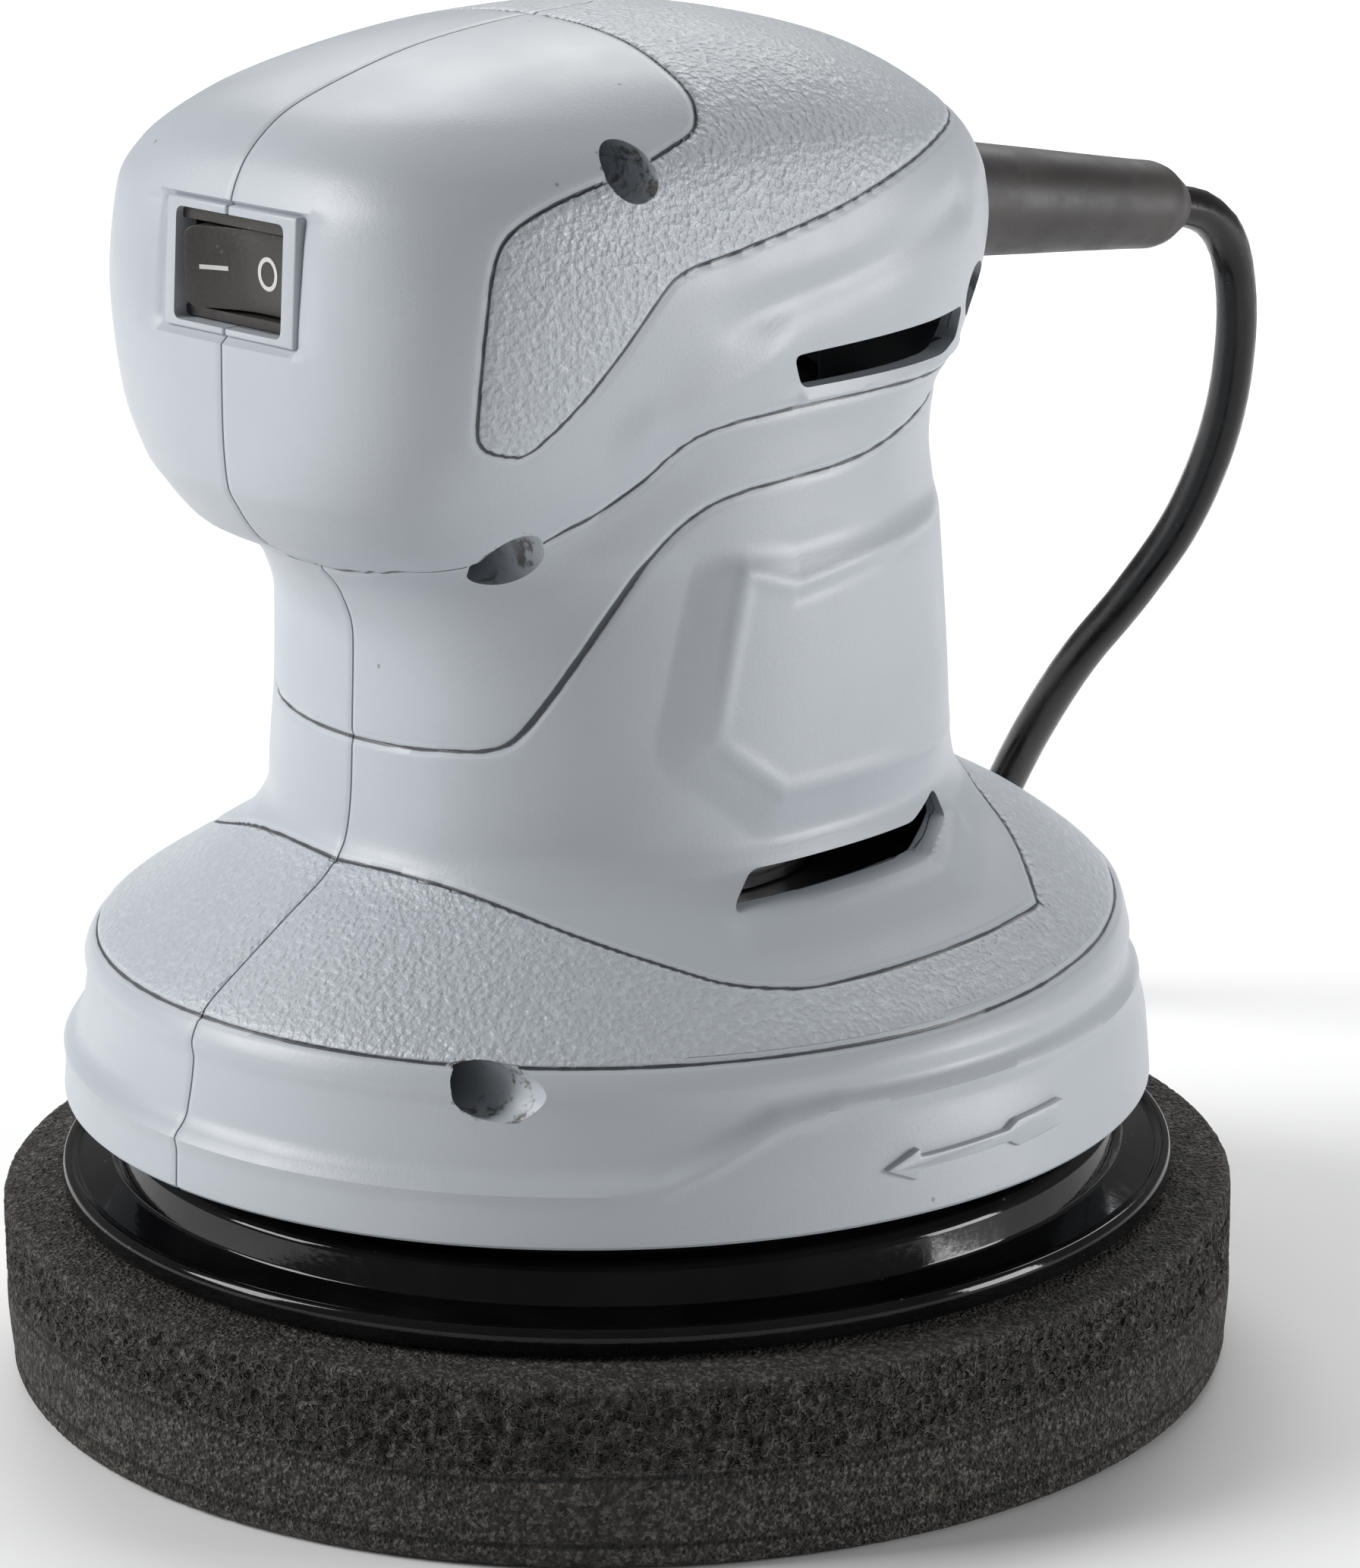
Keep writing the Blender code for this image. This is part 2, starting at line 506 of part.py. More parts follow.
def build_electrics(green, dark, blue, black, metal, leads):
    box("circuit_board", (-16, -24, BOARD_TOP - 1.6), (16, 16, BOARD_TOP), green)
    box("rectifier", (2, -12, BOARD_TOP + GAP), (15, -7, 140), dark)
    rod("capacitor", 5, (-9.5, -2, BOARD_TOP + GAP), (-9.5, -2, 141), blue, steps=16)
    along = boot_direction()
    inner_end = BOOT_BASE - along * (8.4 + GAP)
    rod("cord_inner_end", CORD_D / 2, inner_end, (0, 13, 138.8), black, steps=12)
    bar_x = CORD_D / 2 + GAP
    middle = sum(CLAMP_Z) / 2
    bar = box("cord_clamp", (bar_x, CLAMP_Y - 3, middle - 11), (bar_x + 2.4, CLAMP_Y + 3, middle + 11), black)
    for k, z in enumerate(CLAMP_Z):
        boolean(bar, rod(f"cut_clamp_hole_{k}", 1.6, (0, CLAMP_Y, z), (9, CLAMP_Y, z), steps=10))
        start = bar_x + 2.4 + GAP
        profile = [(0, start - 13), (1.2, start - 13), (1.2, start), (2.4, start), (2.4, start + 1.5),
                   (0, start + 1.5)]
        lay_down = Matrix.Translation((0, CLAMP_Y, z)) @ Matrix.Rotation(math.radians(90), 4, "Y")
        turned(f"clamp_screw_{k + 1}", profile, metal, 10, lay_down)
    routes = {
        "lead_live": [(1.6, 12.6, 139.4), (5, 6, 144), (7, -6, 147.5), (7.5, -16, 145), (6.5, -22, 140.5),
                      (5.4, -25.4, 138.4)],
        "lead_neutral": [(-1.6, 12.6, 139.4), (-6, 2, 145), (-8, -8, 146.5), (-7, -17, 144), (-6, -22, 140.5),
                         (-4.6, -25.4, 138.4)],
    }
    for name, route in routes.items():
        tube(name, smooth_path(route, 5), 1.8, leads, resolution=1)


# ---- strain relief, lead, coil and plug ---------------------------------------------------------
def build_strain_relief(rubber):
    """A tapered boot with a waist in the housing wall and a flange inside it."""
    profile = [(0, -8.4), (8.4, -8.4), (8.4, -5.6), (5.8, -5.6), (5.8, 0), (7.5, 0), (7.6, 4), (6.6, 25),
               (5.7, 44), (5.5, 47.5), (3.6, BOOT_LENGTH), (0, BOOT_LENGTH)]
    turn = boot_direction().to_track_quat("Z", "Y").to_matrix().to_4x4()
    turned("strain_relief", profile, rubber, 16, Matrix.Translation(BOOT_BASE) @ turn)


def clear_of_coil(point):
    """Whether an end face of the lead, looking along X, would stand clear of the coil there."""
    dx, dy = point[0] - COIL_CENTRE[0], point[1] - COIL_CENTRE[1]
    return math.hypot(dx, dy - CORD_D / 2) > COIL_OUT + GAP


def up_to_coil(route):
    """Points along a lead's curve, the last one where its end face would just meet the coil."""
    points = [p for p in smooth_path(route, CORD_D * 2) if clear_of_coil(p)]
    return points + [p for p in smooth_path(route, FINE) if clear_of_coil(p)][-1:]


def build_cord(rubber, tie_mat):
    """The lead down to the coil, the coil's outer shape, the short tail to the plug, and the tie."""
    boot_end = BOOT_BASE + boot_direction() * (BOOT_LENGTH + GAP)
    plug_face = PLUG_END + Vector((GAP, 0, 0))
    tube("cord", up_to_coil([boot_end] + CORD_ROUTE[1:]), CORD_D, rubber, resolution=3)
    tube("cord_tail", up_to_coil([plug_face] + TAIL_ROUTE[1:]), CORD_D, rubber, resolution=3)
    c = 1.2
    outline = [(COIL_IN, COIL_LIFT + c), (COIL_IN + c, COIL_LIFT), (COIL_OUT - c, COIL_LIFT),
               (COIL_OUT, COIL_LIFT + c), (COIL_OUT, COIL_TOP - c), (COIL_OUT - c, COIL_TOP),
               (COIL_IN + c, COIL_TOP), (COIL_IN, COIL_TOP - c)]
    turned("cord_coil", outline, rubber, 30, Matrix.Translation((*COIL_CENTRE, 0)))
    near, far, top = COIL_IN - GAP, COIL_OUT + GAP, COIL_TOP + GAP
    tie = box("coil_tie", (near - TIE_T, -2.2, 0), (far + TIE_T, 2.2, top + TIE_T), tie_mat)
    hollow = box("cut_tie", (near, -5, TIE_T), (far, 5, top), None)
    boolean(tie, hollow)
    for piece in (tie, hollow):
        piece.location = (COIL_CENTRE[0] * MM, COIL_CENTRE[1] * MM, 0)
        piece.rotation_euler.z = TIE_ANGLE


def build_plug(rubber, metal):
    """A two-blade plug lying flat behind the coil."""
    bm = bmesh.new()
    sections = [(0, 3.4, 3.4), (6, 4.6, 4.4), (14, 8.5, 6.0), (PLUG_LENGTH, PLUG_W / 2, PLUG_H / 2)]
    rows = []
    for run, half_w, half_h in sections:
        outline = []
        for k in range(16):
            a = math.radians(22.5 * k)
            c, s = math.cos(a), math.sin(a)
            r = (abs(c) ** 3.5 + abs(s) ** 3.5) ** (-1 / 3.5)
            outline.append(bm.verts.new(PLUG_END + Vector((-run, half_w * r * c, half_h * r * s))))
        rows.append(outline)
    for low, high in zip(rows, rows[1:]):
        for k in range(16):
            bm.faces.new((low[k], low[k - 15], high[k - 15], high[k]))
    bm.faces.new(rows[0])
    bm.faces.new(rows[-1])
    finish(bm, "plug_body", rubber)
    tip = PLUG_END.x - PLUG_LENGTH - GAP
    length, width, height = BLADE
    for k, side in enumerate((-1, 1)):
        y = PLUG_END.y + side * BLADE_SPACING / 2
        box(f"plug_blade_{k + 1}", (tip - length, y - width / 2, PLUG_END.z - height / 2),
            (tip, y + width / 2, PLUG_END.z + height / 2), metal)


# ---- build --------------------------------------------------------------------------------------
def build():
    clear_scene()
    shell = material("blue_grey_plastic", (0.47, 0.52, 0.56), 0.5)
    black = material("black_plastic", (0.035, 0.032, 0.03), 0.5)
    gloss = material("gloss_black_plastic", (0.008, 0.008, 0.009), 0.15)
    foam = material("charcoal_foam", (0.035, 0.03, 0.028), 0.95)
    rubber = material("black_rubber", (0.02, 0.019, 0.018), 0.55)
    steel = material("bright_steel", (0.55, 0.55, 0.56), 0.3, 1.0)
    dark_steel = material("dark_steel", (0.16, 0.16, 0.17), 0.45, 1.0)
    magnet = material("ferrite", (0.06, 0.06, 0.065), 0.7)
    copper = material("copper", (0.6, 0.28, 0.14), 0.35, 1.0)
    carbon = material("carbon", (0.03, 0.03, 0.032), 0.6)
    inner_plastic = material("inner_plastic", (0.06, 0.06, 0.065), 0.5)
    board = material("circuit_board", (0.03, 0.16, 0.07), 0.4)
    blue = material("capacitor_sleeve", (0.03, 0.06, 0.2), 0.35)
    brass = material("brass", (0.7, 0.5, 0.22), 0.3, 1.0)
    lead = material("lead_insulation", (0.5, 0.03, 0.02), 0.45)

    build_housing(shell)
    build_housing_screws(dark_steel)
    build_switch(black, brass)
    build_motor(steel, dark_steel, magnet, copper, carbon, inner_plastic)
    build_fan(inner_plastic)
    build_eccentric(dark_steel, steel)
    build_pad(gloss, foam, steel)
    build_electrics(board, inner_plastic, blue, black, dark_steel, lead)
    build_strain_relief(rubber)
    build_cord(rubber, black)
    build_plug(rubber, brass)


build()
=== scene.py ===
"""Looks of the palm orbital sander-polisher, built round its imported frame.

Shapes are worked out in millimetres and scaled to metres when a mesh is made. The motor axis is Z,
the switch faces -Y, the lead leaves towards +Y, and the housing halves meet at X = 0.
"""

import json
import math

import bpy
import numpy as np
from mathutils import Matrix, Vector, noise
from mathutils.bvhtree import BVHTree
from mathutils.kdtree import KDTree


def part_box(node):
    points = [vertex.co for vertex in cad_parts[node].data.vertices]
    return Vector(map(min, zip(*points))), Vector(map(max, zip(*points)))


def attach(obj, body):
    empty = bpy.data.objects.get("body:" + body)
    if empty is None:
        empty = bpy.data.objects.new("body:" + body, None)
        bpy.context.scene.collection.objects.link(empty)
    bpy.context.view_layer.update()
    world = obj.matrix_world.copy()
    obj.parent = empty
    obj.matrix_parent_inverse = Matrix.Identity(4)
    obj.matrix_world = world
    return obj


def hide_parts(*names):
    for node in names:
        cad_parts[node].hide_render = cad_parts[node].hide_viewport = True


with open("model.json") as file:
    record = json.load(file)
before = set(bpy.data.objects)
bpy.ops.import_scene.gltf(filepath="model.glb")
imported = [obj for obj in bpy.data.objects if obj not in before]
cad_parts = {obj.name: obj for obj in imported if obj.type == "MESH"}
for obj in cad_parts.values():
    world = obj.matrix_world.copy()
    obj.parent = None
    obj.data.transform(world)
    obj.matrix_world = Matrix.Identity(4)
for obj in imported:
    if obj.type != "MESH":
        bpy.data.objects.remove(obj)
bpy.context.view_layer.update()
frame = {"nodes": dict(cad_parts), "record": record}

MM = 0.001
SEAM = 0.15                    # half the gap between the housing halves
WALL = 2.4

# ---- the housing's shape, the same design as the CAD ----------------------------------------------
# Level rings from the skirt's edge to the crown: height at the front, side and rear, half-width,
# reach to the front and to the rear, squareness at the front and at the rear (2 is an ellipse)
RINGS = np.array([
    (34.0, 34.0, 34.0, 65.0, 65.2, 65.0, 2.0, 2.0),
    (41.0, 41.0, 41.0, 64.0, 64.8, 65.0, 2.0, 2.0),
    (46.5, 46.5, 46.5, 62.8, 63.7, 63.8, 2.0, 2.0),
    (50.5, 50.5, 51.0, 62.4, 63.0, 63.6, 2.0, 2.0),
    (53.6, 53.6, 55.0, 60.8, 61.6, 63.4, 2.0, 2.0),
    (55.2, 55.2, 57.4, 59.0, 60.0, 61.6, 2.0, 2.0),
    (62.0, 61.6, 64.0, 48.0, 50.0, 52.3, 2.1, 2.2),
    (67.2, 66.4, 67.6, 40.2, 42.3, 45.9, 2.2, 2.3),
    (70.5, 69.4, 70.0, 37.7, 39.8, 42.4, 2.3, 2.4),
    (76.0, 76.0, 76.0, 37.0, 38.8, 40.5, 2.4, 2.4),
    (85.0, 85.0, 85.0, 37.0, 38.3, 39.7, 2.3, 2.4),
    (94.0, 100.0, 104.0, 37.0, 37.9, 38.4, 2.3, 2.3),
    (99.0, 110.0, 112.0, 37.0, 39.3, 38.0, 2.3, 2.2),
    (103.0, 117.0, 119.0, 37.1, 42.6, 38.5, 2.2, 2.3),
    (107.3, 121.0, 123.0, 37.4, 50.5, 41.1, 2.3, 2.5),
    (111.5, 123.5, 125.5, 37.4, 53.7, 42.8, 2.5, 2.5),
    (114.5, 126.0, 128.0, 37.5, 55.1, 44.4, 2.7, 2.5),
    (121.0, 130.0, 132.0, 37.8, 55.5, 46.0, 3.2, 2.5),
    (130.5, 135.5, 137.0, 37.9, 55.3, 46.9, 3.6, 2.5),
    (138.0, 140.0, 141.5, 37.5, 54.6, 46.5, 3.8, 2.5),
    (145.0, 145.5, 146.0, 36.6, 53.6, 45.0, 3.8, 2.4),
    (149.5, 149.4, 148.7, 35.4, 51.8, 43.2, 3.4, 2.3),
    (154.6, 153.9, 152.6, 31.8, 46.2, 38.6, 2.8, 2.2),
    (158.0, 158.0, 156.7, 26.0, 37.0, 31.2, 2.6, 2.1),
    (160.9, 161.1, 160.1, 17.1, 24.5, 20.0, 2.5, 2.1),
    (162.3, 162.4, 162.0, 8.3, 11.5, 9.9, 2.4, 2.2),
    (162.8, 162.8, 162.8, 0.0, 0.0, 0.0, 2.2, 2.2),
])
ROW_STEP = 0.62                # spacing of the fine mesh's rows, along the side
COLUMNS = 292                  # of the fine mesh, round one half

# Lines moulded into each half, on its surface
PANEL_LINE = [
    (0, -9.5, 162.4), (6, -9.6, 162.4), (11.7, -9.9, 162), (18, -10.3, 160.6), (24.5, -10.8, 158.7),
    (28, -11, 157), (30.4, -11.8, 155.2), (32.4, -13.9, 153), (33.4, -17.7, 151.8), (34.3, -25.1, 149.7),
    (34.2, -29.3, 148.9), (33.6, -36.1, 147.1), (32.7, -40.9, 144.6), (32.5, -43, 141.1),
    (32.4, -44.2, 134.8), (31.4, -44.4, 128), (30.7, -44.3, 122.9), (30.8, -43.3, 121.1),
    (31.4, -41, 120.1), (31.9, -38.6, 120), (33.2, -36.3, 121.8), (35.8, -29.5, 129.3),
    (37.4, -22.9, 136.6), (37.5, -19.6, 138.5), (37.5, -16, 139.2), (37.5, -11.2, 139.9),
    (37.2, 2.4, 142.4), (35.5, 15.1, 145.6), (31.2, 25.6, 148), (27, 31.2, 148.7), (20, 36.6, 148.9),
    (10, 40.2, 149), (0, 41.3, 149),
]
HEAD_LINE = [
    (0, -42.3, 103.2), (7, -42.4, 103.7), (13.5, -42.8, 104.5), (20.7, -39.5, 105.8), (23.6, -35, 106.1),
    (27.1, -31.7, 108.9), (31.5, -23.6, 113.8), (35, -18.4, 118.2), (36.4, -13.8, 120.1),
    (37.3, -5.1, 120.9), (37.3, 8, 121.2), (33.7, 21.8, 121.3), (30.7, 27.5, 121.6), (20, 36, 122.4),
    (10, 40, 122.8), (0, 41, 122.9),
]
BAND_LINE = [
    (0, -38.4, 82.2), (6.9, -38.1, 82.4), (14, -36.6, 82.9), (19, -34.4, 83.4), (22, -32.8, 84.8),
    (24.6, -30.6, 88.6), (27.7, -27.6, 94.5), (31, -23.4, 102), (33.5, -19.6, 107.6), (35.1, -15.1, 110.9),
    (36.2, -10, 112.3), (36.9, -4.8, 112.8), (36.6, 7.7, 113.8), (33.4, 19.2, 116.2), (27, 29, 118.4),
    (17, 36, 119.6), (0, 39, 120),
]
APRON_LINE = [
    (0, -41.4, 68.4), (6, -40.8, 68.5), (11.4, -39.9, 68.4), (20, -37.4, 67.2), (29.2, -34.1, 65.1),
    (36, -30.6, 63), (42.6, -26.1, 60.9), (46.6, -22.6, 59.5), (49.8, -17.8, 58.7), (51.6, -12.9, 58.3),
    (52.4, -4, 58.2), (52.3, 5, 58.6), (50.8, 15, 58.8), (48.4, 24.3, 59.2), (47, 25.6, 59.6),
    (38, 31, 63.9), (31, 34, 67), (27.7, 35.4, 68.6), (20, 39.4, 69.4), (10, 42, 69.8), (0, 42.6, 69.9),
]
RING_TURNS = [(-90, 54.0), (-60, 53.8), (-30, 54.2), (0, 54.6), (30, 55.4), (60, 56.8), (90, 57.4)]

# Soft relief on each half, as outlines in (y, z)
PLATEAU = [(-10.7, 103), (-14.9, 84.1), (-6, 77.2), (60, 77.2), (60, 112), (28, 104.6), (-3.7, 100.6)]
FADING_CREASE = [(-3.7, 99.6), (8, 101.2), (27, 103.8)]
HEAD_VALLEY = [(-16, 131.6), (-6, 133.2), (6, 135.2), (16, 137.4), (26, 140.2)]
HEAD_RIDGE = [(-27, 120.6), (-20, 122.6), (-12, 125.4), (-4, 128.2)]
SKIRT_BAND = [(-180, 41.0), (-42, 41.0), (-36, 41.4), (-31, 43.6), (-24, 47.2), (-17, 48.4),
              (0, 48.2), (40, 47.4), (90, 47.0), (180, 47.0)]

VENTS = {
    "upper": [(-4.0, 127.0), (-2.5, 123.1), (23.5, 123.0), (27.5, 124.2), (27.5, 128.0), (20.0, 127.6)],
    "lower": [(-16.0, 65.0), (-10.5, 68.6), (15.7, 68.8), (22.5, 71.0), (22.5, 68.4), (14.4, 65.6)],
}
SCREW_SPOTS = {
    "crown": (-25.0, 149.7),
    "under_head": (-35.0, 106.5),
    "skirt_front": (-49.4, 51.0),
    "head_rear": (32.0, 129.0),
    "skirt_rear": (49.4, 52.0),
}
SCREW_HEAD_X = 12.0
RECESS_R, CLEARANCE_R, BOSS_R = 3.3, 1.8, 4.9
LEAD_HOLE_R = 6.1
BOOT_BASE = Vector((0, 47.4, 134.4))
BOOT_TILT = math.radians(8)
BOOT_ALONG = Vector((0, math.cos(BOOT_TILT), -math.sin(BOOT_TILT)))
BOOT_LENGTH = 51.6
ARROW_RADIUS = 65.0

# ---- the lead's route, the same as the CAD's ------------------------------------------------------
CORD_D = 5.4
CORD_ROUTE = [
    (0, 98.8, 127.2), (0, 103.4, 126.0), (-0.3, 107.8, 123.2), (-1.2, 111.6, 117.8), (-3, 114.4, 107.8),
    (-7, 116.2, 94.7), (-13, 115.8, 81.4), (-21, 114.4, 69.8), (-30, 113.7, 59.4), (-38, 114.4, 49.4),
    (-46, 116.2, 38.8), (-53, 118.2, 28.2), (-60, 119.8, 17.8), (-68, 120.8, 9.2), (-78, 120.9, 4.8),
    (-92, 120.8, 3.8),
]
TAIL_ROUTE = [(-92, 120.8, 9.2), (-99, 120.7, 9.1), (-108, 120.2, 8.4), (-118, 119.6, 7.4), (-124, 119.4, 7)]
COIL_CENTRE = Vector((-92.0, 83.0, 0))
COIL_RADII = [37.8, 32.4, 27.0, 21.6]
COIL_Z = (3.8, 9.2)
PLUG_LENGTH = 33.0


# ---- camera, floor and light ----------------------------------------------------------------------
def linked(name, data):
    """A new object in the scene."""
    obj = bpy.data.objects.new(name, data)
    bpy.context.scene.collection.objects.link(obj)
    return obj


def make_camera():
    azimuth, elevation, roll = math.radians(48), math.radians(15.6), math.radians(-0.6)
    right = Vector((math.cos(azimuth), math.sin(azimuth), 0))
    back = Vector((math.sin(azimuth) * math.cos(elevation), -math.cos(azimuth) * math.cos(elevation),
                   math.sin(elevation)))
    up = back.cross(right)
    target = Vector((0, 0, 0.069)) + right * 0.0091
    across = right * math.cos(roll) + up * math.sin(roll)
    upward = up * math.cos(roll) - right * math.sin(roll)
    data = bpy.data.cameras.new("camera")
    data.sensor_width = 36
    data.lens = 125.46
    data.clip_start, data.clip_end = 0.05, 20
    camera = linked("camera", data)
    place = Matrix((across, upward, back)).transposed().to_4x4()
    place.translation = target + back * 0.655
    camera.matrix_world = place
    bpy.context.scene.camera = camera


def make_area_light(name, spot, target, size, power):
    data = bpy.data.lights.new(name, "AREA")
    data.shape = "RECTANGLE"
    data.size, data.size_y = size
    data.energy = power
    light = linked(name, data)
    light.location = spot
    light.rotation_euler = (Vector(target) - Vector(spot)).to_track_quat("-Z", "Y").to_euler()


def make_studio():
    bpy.ops.mesh.primitive_plane_add(size=8, location=(0, 0, -0.0002))
    floor = bpy.context.object
    floor.name = "studio_floor"
    floor.data.materials.append(plain_material("studio_floor", (0.95, 0.95, 0.95), 0.75))
    world = bpy.data.worlds.new("studio")
    world.use_nodes = True
    background = world.node_tree.nodes["Background"].inputs
    background["Color"].default_value = (1, 1, 1, 1)
    background["Strength"].default_value = 0.19
    bpy.context.scene.world = world
    bpy.context.scene.view_settings.view_transform = "Standard"
    middle = (0, 0, 0.09)
    make_area_light("left_box", (-0.66, -0.93, 0.72), middle, (0.5, 0.75), 14.5)
    make_area_light("right_box", (1.02, 0.82, 0.18), middle, (0.45, 0.65), 12)
    make_area_light("back_box", (-1.1, 1.2, 1.3), (-1.2, 1.3, 0), (1.6, 1.6), 38)


# ---- node materials -------------------------------------------------------------------------------
class Finish:
    """A Principled material and short ways to add nodes to it. Texture scales are in features per metre."""

    def __init__(self, name, roughness=0.5, metallic=0.0):
        self.mat = bpy.data.materials.new(name)
        self.mat.use_nodes = True
        self.tree = self.mat.node_tree
        self.shader = self.tree.nodes["Principled BSDF"]
        self.shader.inputs["Metallic"].default_value = metallic
        self.shader.inputs["Roughness"].default_value = roughness
        self.where = self.add("ShaderNodeTexCoord").outputs["Object"]

    def add(self, kind, **values):
        node = self.tree.nodes.new(kind)
        for key, value in values.items():
            setattr(node, key, value)
        return node

    def link(self, source, target):
        self.tree.links.new(source, target)

    def put(self, socket, value):
        """A number, a colour, or another node's output into a socket."""
        if isinstance(value, bpy.types.NodeSocket):
            self.link(value, socket)
        elif isinstance(value, (tuple, list)) and len(value) == 3 and socket.type == "RGBA":
            socket.default_value = (*value, 1)
        else:
            socket.default_value = value

    def noise(self, scale, detail=3.0, rough=0.55, stretch=None):
        node = self.add("ShaderNodeTexNoise")
        node.inputs["Scale"].default_value = scale
        node.inputs["Detail"].default_value = detail
        node.inputs["Roughness"].default_value = rough
        self.link(self.stretched(stretch), node.inputs["Vector"])
        return node.outputs["Fac"]

    def stretched(self, stretch):
        if stretch is None:
            return self.where
        mapping = self.add("ShaderNodeMapping")
        mapping.inputs["Scale"].default_value = stretch
        self.link(self.where, mapping.inputs["Vector"])
        return mapping.outputs["Vector"]

    def cells(self, scale, feature="F1", output="Distance"):
        node = self.add("ShaderNodeTexVoronoi", feature=feature)
        node.inputs["Scale"].default_value = scale
        self.link(self.where, node.inputs["Vector"])
        return node.outputs[output]

    def spread(self, value, low, high, to_low=0.0, to_high=1.0, smooth=True):
        """Map a range of a value to another range, smoothly and clamped."""
        node = self.add("ShaderNodeMapRange", clamp=True)
        node.interpolation_type = "SMOOTHSTEP" if smooth else "LINEAR"
        self.put(node.inputs["Value"], value)
        for name, number in zip(("From Min", "From Max", "To Min", "To Max"), (low, high, to_low, to_high)):
            node.inputs[name].default_value = number
        return node.outputs["Result"]

    def calc(self, operation, a, b=0.0):
        node = self.add("ShaderNodeMath", operation=operation)
        self.put(node.inputs[0], a)
        self.put(node.inputs[1], b)
        return node.outputs["Value"]

    def times(self, a, b):
        return self.calc("MULTIPLY", a, b)

    def mix(self, share, a, b):
        node = self.add("ShaderNodeMix", data_type="RGBA")
        self.put(node.inputs["Factor"], share)
        self.put(node.inputs[6], a)
        self.put(node.inputs[7], b)
        return node.outputs[2]

    def measured(self, name):
        """A value in millimetres stored on the mesh."""
        return self.add("ShaderNodeAttribute", attribute_name=name).outputs["Fac"]

    def bump(self, height, distance, strength=1.0, under=None):
        node = self.add("ShaderNodeBump")
        node.inputs["Distance"].default_value = distance
        node.inputs["Strength"].default_value = strength
        self.link(height, node.inputs["Height"])
        if under is not None:
            self.link(under, node.inputs["Normal"])
        return node.outputs["Normal"]

    def wear(self, colour, roughness, normal=None):
        self.put(self.shader.inputs["Base Color"], colour)
        self.put(self.shader.inputs["Roughness"], roughness)
        if normal is not None:
            self.link(normal, self.shader.inputs["Normal"])
        return self.mat


def shade(colour, factor):
    return tuple(min(1.0, c * factor) for c in colour)


def plain_material(name, colour, roughness):
    f = Finish(name)
    tone = f.mix(f.noise(3, 2), shade(colour, 0.985), colour)
    return f.wear(tone, f.spread(f.noise(40), 0.3, 0.7, roughness - 0.04, roughness + 0.04))


def moulded_plastic(name, colour, roughness, grain=0.00004, grain_scale=2600, specks=0.0):
    """An injection-moulded plastic with a fine etched grain and slight mottling."""
    f = Finish(name)
    mottle = f.spread(f.noise(38, 4), 0.3, 0.7)
    tone = f.mix(mottle, shade(colour, 0.93), shade(colour, 1.05))
    if specks:
        dust = f.spread(f.cells(420), 0.05, 0.11, 1, 0)
        tone = f.mix(f.times(dust, specks), tone, (0.4, 0.38, 0.36))
    rough = f.spread(f.noise(160, 5), 0.3, 0.7, roughness - 0.06, roughness + 0.06)
    return f.wear(tone, rough, f.bump(f.noise(grain_scale, 3), grain))


def housing_plastic():
    """Pale blue-grey paint-like moulding: fine satin skin, pebbled panels with painted highlights on their
    tops, and painted shade as dark lines in the grooves.
    """
    f = Finish("housing_plastic")
    base = (0.462, 0.494, 0.533)
    mottle = f.spread(f.noise(26, 4), 0.3, 0.7)
    tone = f.mix(mottle, shade(base, 0.965), shade(base, 1.03))
    in_panel = f.spread(f.measured("panel_mm"), 0.0, 0.35)
    pebble = f.calc("ADD", f.times(f.noise(1500, 2.0, 0.55), 0.6),
                    f.times(f.cells(1250, "SMOOTH_F1"), 0.5))
    # painted highlights: the pebble's raised tops are coloured lighter, as if lit
    pebble_highlights = f.spread(pebble, 0.5, 0.66)
    tone = f.mix(f.times(in_panel, f.times(pebble_highlights, 0.5)), tone, shade(base, 1.22))
    # a few dark pinpricks, as a moulding picks up in use
    pits = f.spread(f.cells(95), 0.018, 0.032, 1, 0)
    tone = f.mix(f.times(pits, 0.55), tone, (0.10, 0.10, 0.11))
    # the grooves get painted shade, unevenly, beside a painted highlight along each groove's edge
    signed = f.measured("groove_mm")
    on_line = f.times(f.spread(f.measured("near_mm"), 1.1, 1.6, 1, 0),
                     f.spread(f.measured("recess_mm"), -0.5, 0.3, 1, 0))
    beside = f.calc("SUBTRACT", f.calc("ABSOLUTE", signed), 0.62)
    # painted highlight: a lighter line beside each groove, where its edge would catch the light
    painted_edge_highlight = f.spread(f.calc("ABSOLUTE", beside), 0.0, 0.3, 1, 0)
    tone = f.mix(f.times(f.times(painted_edge_highlight, on_line), 0.3), tone, shade(base, 1.3))
    across = f.calc("SUBTRACT", f.calc("ABSOLUTE", signed), f.spread(f.noise(420, 3), 0.3, 0.7, -0.03, 0.04))
    # painted shade: a dark line along the bottom of each groove
    line = f.times(f.spread(across, 0.12, 0.26, 1, 0), on_line)
    tone = f.mix(f.times(line, 0.93), tone, (0.035, 0.038, 0.048))
    grime = f.times(f.spread(f.measured("recess_mm"), 0.0, 0.6),
                   f.spread(f.noise(330, 5, 0.65), 0.52, 0.62))
    tone = f.mix(f.times(grime, 0.75), tone, (0.075, 0.05, 0.03))
    smooth_rough = f.spread(f.noise(90, 4), 0.3, 0.7, 0.36, 0.44)
    rough = f.calc("ADD", smooth_rough, f.times(in_panel, f.spread(pebble, 0.4, 0.7, 0.02, -0.07)))
    skin = f.bump(f.noise(2300, 3, 0.6), 0.000035, 0.8)
    pebbled = f.bump(f.times(pebble, in_panel), 0.00045, 1.0, skin)
    return f.wear(tone, rough, pebbled)


